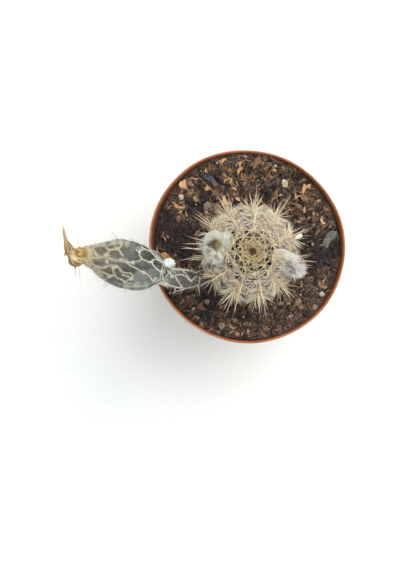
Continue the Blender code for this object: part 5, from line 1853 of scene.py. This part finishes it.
def flower_threads(route, surface, pod):
    """Shreds that run down the strand, lie over the funnel and the pod's end, and hang off its point."""
    draw = Draws(37)
    for _ in range(46):
        angle = draw(0, TURN)
        root = route.skin(draw(0.3, 0.62), angle, -0.1 * MM)
        tip = route.skin(draw(0.8, 1), angle + 1.5, draw(-0.1, 0.25) * MM)
        middle = route.skin(0.74, angle + 0.7, draw(-0.2, 0.1) * MM)
        yield through((root, middle, tip), draw(0.06, 0.13) * MM, draw(0, 0.6))
    for _ in range(50):
        start = draw(0, 0.3)
        angle = draw(0, TURN)
        root = route.skin(start, angle, -0.2 * MM)
        turned_to = angle + draw(-0.8, 0.8)
        tip = route.skin(start + draw(0.1, 0.3), turned_to, draw(0, 0.3) * MM)
        bow = (tip - route.points[2]).normalized() * 0.3 * MM
        yield hair(root, tip, bow, draw(0.04, 0.07) * MM, draw(0, 0.9))
    for _ in range(80):
        y = draw(246, 263)
        end = draw(84, 88) if 247 < y < 258.5 else draw(77, 85)
        root, _ = spot_seen(pod, (draw(87.5, 91.5), 257 + 1.08 * (y - 257)))
        tip, _ = spot_seen(surface, (end, 256.5 + 0.7 * (y - 256.5)))
        if root is not None and tip is not None:
            bow = UP * draw(0.1, 0.35) * MM
            yield hair(root, tip, bow, draw(0.05, 0.12) * MM, draw(-0.4, 0.3))
    for _ in range(40):
        root = spot_at_height((draw(74.5, 79), draw(259, 263)), 70 * MM)
        height = draw(67.5, 69.5) * MM
        tip = spot_at_height((draw.gauss(75.2, 0.6), draw(266, 269.2)), height)
        yield hair(root, tip, UP * 0.3 * MM, draw(0.09, 0.16) * MM, draw(0.2, 0.9))
    for *pixels, radius, tint in FLOWER_WISPS:
        spots = [spot_at_height(pixel, 71 * MM) for pixel in pixels]
        yield through(spots, radius * MM, tint)


# Woolly buds


def random_way(draw):
    """A unit vector in a random direction."""
    height = draw(-1, 1)
    return direction(draw(0, TURN), asin(height))


def bud_clumps(draw, count, darkest):
    """Directions in which a bud's hairs draw together, each with a shade."""
    return [(random_way(draw), draw(0, darkest)) for _ in range(count)]


def nearest_clump(clumps, way):
    """The clump nearest to a direction, as (direction, shade)."""
    return max(clumps, key=lambda clump: clump[0].dot(way))


def add_felt(name, skin, node):
    """The felt of a bud. skin(way) gives a point of it, and how deep that lies in the bud's pit."""

    def place(ring, turn):
        return skin(direction(TURN * turn, pi / 2 - pi * ring / BUD_RINGS))

    add_piece(name, shaped_ball(BUD_SIDES, BUD_RINGS, place, "pit"), "bud_felt", node)


def left_bud_skin(way):
    """A point of the left bud's felt, and how far it lies in its pit and in a dimple, from 0 to 1."""
    lump = 0.34 * MM * noise.noise(way * 2.6) + 0.22 * MM * noise.noise(way * 6)
    lobe = 1.9 * MM * clamp(way.dot(Vector((0.9, 0.4, 0.2)).normalized()) * 7 - 6) ** 0.7
    place = LEFT_BUD_PLACE + way * LEFT_BUD_SIZE + way * (lump + lobe)
    if way.z <= 0:
        return place, 0.0, 0.0
    pit = spot_depth(place, LEFT_BUD_HOLLOWS)
    dimple = spot_depth(place, LEFT_BUD_DIMPLES)
    return place - UP * max(pit**0.8 * 1.9, dimple * 0.6) * MM, pit, dimple


def build_left_bud():
    """A round bud of wool with an open dark pit."""

    def felt(way):
        spot, pit, dimple = left_bud_skin(way)
        return spot, max(clamp(pit * 1.8 - 0.05), 0.5 * dimple)

    add_felt("left_bud_felt", felt, "woolly_bud_left")
    draw = Draws(53)
    clumps = bud_clumps(draw, 80, 0.6)
    pit_centre = Vector((0.08, 0.12, 0.99)).normalized()
    hairs = []
    while len(hairs) < LEFT_BUD_HAIRS:
        way = random_way(draw)
        root, pit, dimple = left_bud_skin(way)
        if pit > 0.15 + 0.5 * draw.random() or way.z < -0.5:
            continue
        clump, shade = nearest_clump(clumps, way)
        away = across(way, pit_centre).normalized()
        inward = clamp(1 - way.angle(pit_centre) / radians(50))
        aim = way * 0.6 + away * (0.7 - 0.9 * inward * draw.random()) + (clump - way) * 3.4
        aim = (aim + draw.sway(0.5)).normalized()
        length = draw(0.5, 1.25) * MM * (1 - 0.4 * inward)
        bow = (way * 0.25 + draw.sway(0.25)) * length
        tint = clamp(shade * 0.5 + 0.5 * dimple + 0.5 * pit + draw(-0.15, 0.15))
        hairs.append(hair(root, root + aim * length, bow, BUD_HAIR_RADIUS, tint))
    add_hairs("left_bud_wool", hairs, "bud_wool", 2)


def along_right_bud(way):
    """A vector given along the right bud, sideways and up, turned to where the bud points."""
    forward = direction(RIGHT_BUD_AZIMUTH, RIGHT_BUD_RISE)
    side = UP.cross(forward).normalized()
    return forward * way.x + side * way.y + forward.cross(side) * way.z


def right_bud_skin(way):
    """A point of the right bud's felt, which has no pit. The way is given along the bud, sideways and up."""
    spot = along_right_bud(way * RIGHT_BUD_SIZE)
    lump = 0.25 * MM * noise.noise(way * 3)
    return RIGHT_BUD_PLACE + spot * 0.92 + spot.normalized() * lump, 0


def build_right_bud():
    """A longer bud, its wool combed out towards its shaggy tip, beige and streaked with brown on its top."""
    add_felt("right_bud_felt", right_bud_skin, "woolly_bud_right")
    forward = along_right_bud(Vector((1, 0, 0)))
    draw = Draws(59)
    clumps = bud_clumps(draw, 110, 1)
    white = []
    brown = []
    for _ in range(RIGHT_BUD_HAIRS):
        way = random_way(draw)
        root, _ = right_bud_skin(way)
        outward = along_right_bud(way).normalized()
        clump, shade = nearest_clump(clumps, way)
        pull = along_right_bud(clump - way)
        seen = clamp(2.5 * way.z + 0.4)
        beige = spot_depth(root, BUD_BEIGE) * seen
        streak = spot_depth(root, BUD_STREAKS) * seen
        tawny = spot_depth(root, BUD_TIP) * clamp(0.4 + way.x)
        shaggy = clamp(0.25 + way.x)
        aim = outward * (0.15 + 0.45 * shaggy) + forward * 0.9 + pull * (3 - 1.8 * clamp(2 * beige))
        aim = (aim + draw.sway(0.2 + 0.2 * shaggy)).normalized()
        length = draw(0.6, 1.3) * MM * (0.6 + 1.5 * shaggy**2)
        bow = (outward * 0.2 + draw.sway(0.14)) * length
        if max(streak * 1.3, tawny * 1.3) * (0.3 + shade) > draw(0.25, 0.9):
            tint = clamp(1.2 * tawny + draw(-0.2, 0.3))
            brown.append(hair(root, root + aim * length, bow, BUD_HAIR_RADIUS, tint))
        else:
            tint = clamp(3.2 * beige * (0.7 + 0.5 * shade) + 0.2 * shade + draw(-0.15, 0.1))
            white.append(hair(root, root + aim * length, bow, BUD_HAIR_RADIUS, tint))
    add_hairs("right_bud_wool", white, "right_bud_wool", 2)
    add_hairs("right_bud_streaks", brown, "bud_streak", 2)


def build_perlite():
    """The pitted white crumb at the pod's waist, in its node's box."""
    low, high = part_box("perlite_crumb")
    half = (high - low) / 2
    bm = bmesh.new()
    bmesh.ops.create_icosphere(bm, subdivisions=5, radius=1)
    for vert in bm.verts:
        way = vert.co.copy()
        near, far = noise.voronoi(way * 1.5 + Vector((3, 1, 4)))[0][:2]
        lump = 0.45 * min(0.3, far - near) + 0.16 * noise.noise(way * 3.4)
        pits = min(0.0, noise.voronoi(way * 4.2)[0][0] - 0.3) * 0.5
        vert.co = (low + high) / 2 + way * half * (0.84 + lump + pits)
    add_piece("perlite_crumb_body", new_mesh("perlite", bm), "perlite", "perlite_crumb")


def build_flake():
    """The papery cream flake caught in the spines right of the stem's tip."""
    bm = bmesh.new()
    bmesh.ops.create_grid(bm, x_segments=16, y_segments=6, size=0.5)
    for vert in bm.verts:
        u, v = vert.co.x, vert.co.y
        taper = 1 - 0.75 * abs(2 * u - 0.3) ** 2.5
        height = 0.28 * cos(2.6 * v) + 0.1 * noise.noise(vert.co * 4)
        vert.co = Vector((u * 2.3, v * 1.05 * taper, height)) * MM
    bmesh.ops.solidify(bm, geom=bm.faces[:], thickness=0.12 * MM)
    turn = Matrix.Rotation(radians(24), 3, "Z") @ Matrix.Rotation(radians(-14), 3, "Y")
    bmesh.ops.rotate(bm, verts=bm.verts, cent=(0, 0, 0), matrix=turn)
    bmesh.ops.translate(bm, verts=bm.verts, vec=spot_at_height(FLAKE_PIXEL, 66.5 * MM))
    add_piece("cream_flake", new_mesh("flake", bm), "cream_flake")


# Studio

# Each light with its place in metres, size in metres, watts and colour
LIGHTS = (
    ("key_light", (0.26, 0.3, 0.5), 0.5, 2.9, (1, 0.97, 0.93)),
    ("fill_light", (-0.3, -0.35, 0.45), 0.6, 1.1, (0.92, 0.98, 1)),
    ("top_light", (0.06, 0.04, 0.8), 0.6, 2.95, (0.96, 1, 1)),
)


def build_studio():
    """The camera above the pot, a pale floor and soft light from the upper right."""
    scene = bpy.context.scene
    camera = bpy.data.cameras.new("camera")
    camera.lens = CAMERA_LENS
    camera.sensor_width = SENSOR_LENGTH
    camera.clip_start = 0.01
    scene.camera = linked("camera", camera)
    scene.camera.location = CAMERA_PLACE
    bm = bmesh.new()
    bmesh.ops.create_grid(bm, x_segments=1, y_segments=1, size=1.5)
    mesh = bpy.data.meshes.new("floor")
    bm.to_mesh(mesh)
    bm.free()
    mesh.materials.append(FINISHES["studio_paper"])
    floor = linked("floor", mesh)
    for name, place, size, watts, colour in LIGHTS:
        light = bpy.data.lights.new(name, "AREA")
        light.size = size
        light.energy = watts
        light.color = colour
        lamp = linked(name, light)
        lamp.location = place
        lamp.rotation_euler = (Vector((0, 0, 0.04)) - Vector(place)).to_track_quat("-Z", "Y").to_euler()
    world = bpy.data.worlds.new("studio")
    world.use_nodes = True
    sky = world.node_tree.nodes["Background"].inputs
    sky["Color"].default_value = (0.94, 0.98, 1, 1)
    sky["Strength"].default_value = 0.4
    scene.world = world
    scene.view_settings.view_transform = "Standard"


def node_trees(*names):
    """The search trees of some of the part's solids."""
    return [tree_of(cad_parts[name].data) for name in names]


make_finishes()
build_studio()
buds = node_trees("woolly_bud_left", "woolly_bud_right")
below = node_trees("seed_pod", "soil", "pot")
build_pot()
soil = build_soil()
build_crumbs(soil)
build_seen_crumbs(soil)
stem = build_stem()
add_hairs("radial_spines", radial_spines(stem, below), "radial_spine")
add_hairs("long_spines", long_spines(stem, buds), "long_spine")
add_hairs("crown_spines", crown_spines(), "crown_spine")
add_hairs("areole_wool", areole_wool(), "areole_wool", 2)
build_flower(build_pod())
build_left_bud()
build_right_bud()
build_perlite()
build_flake()
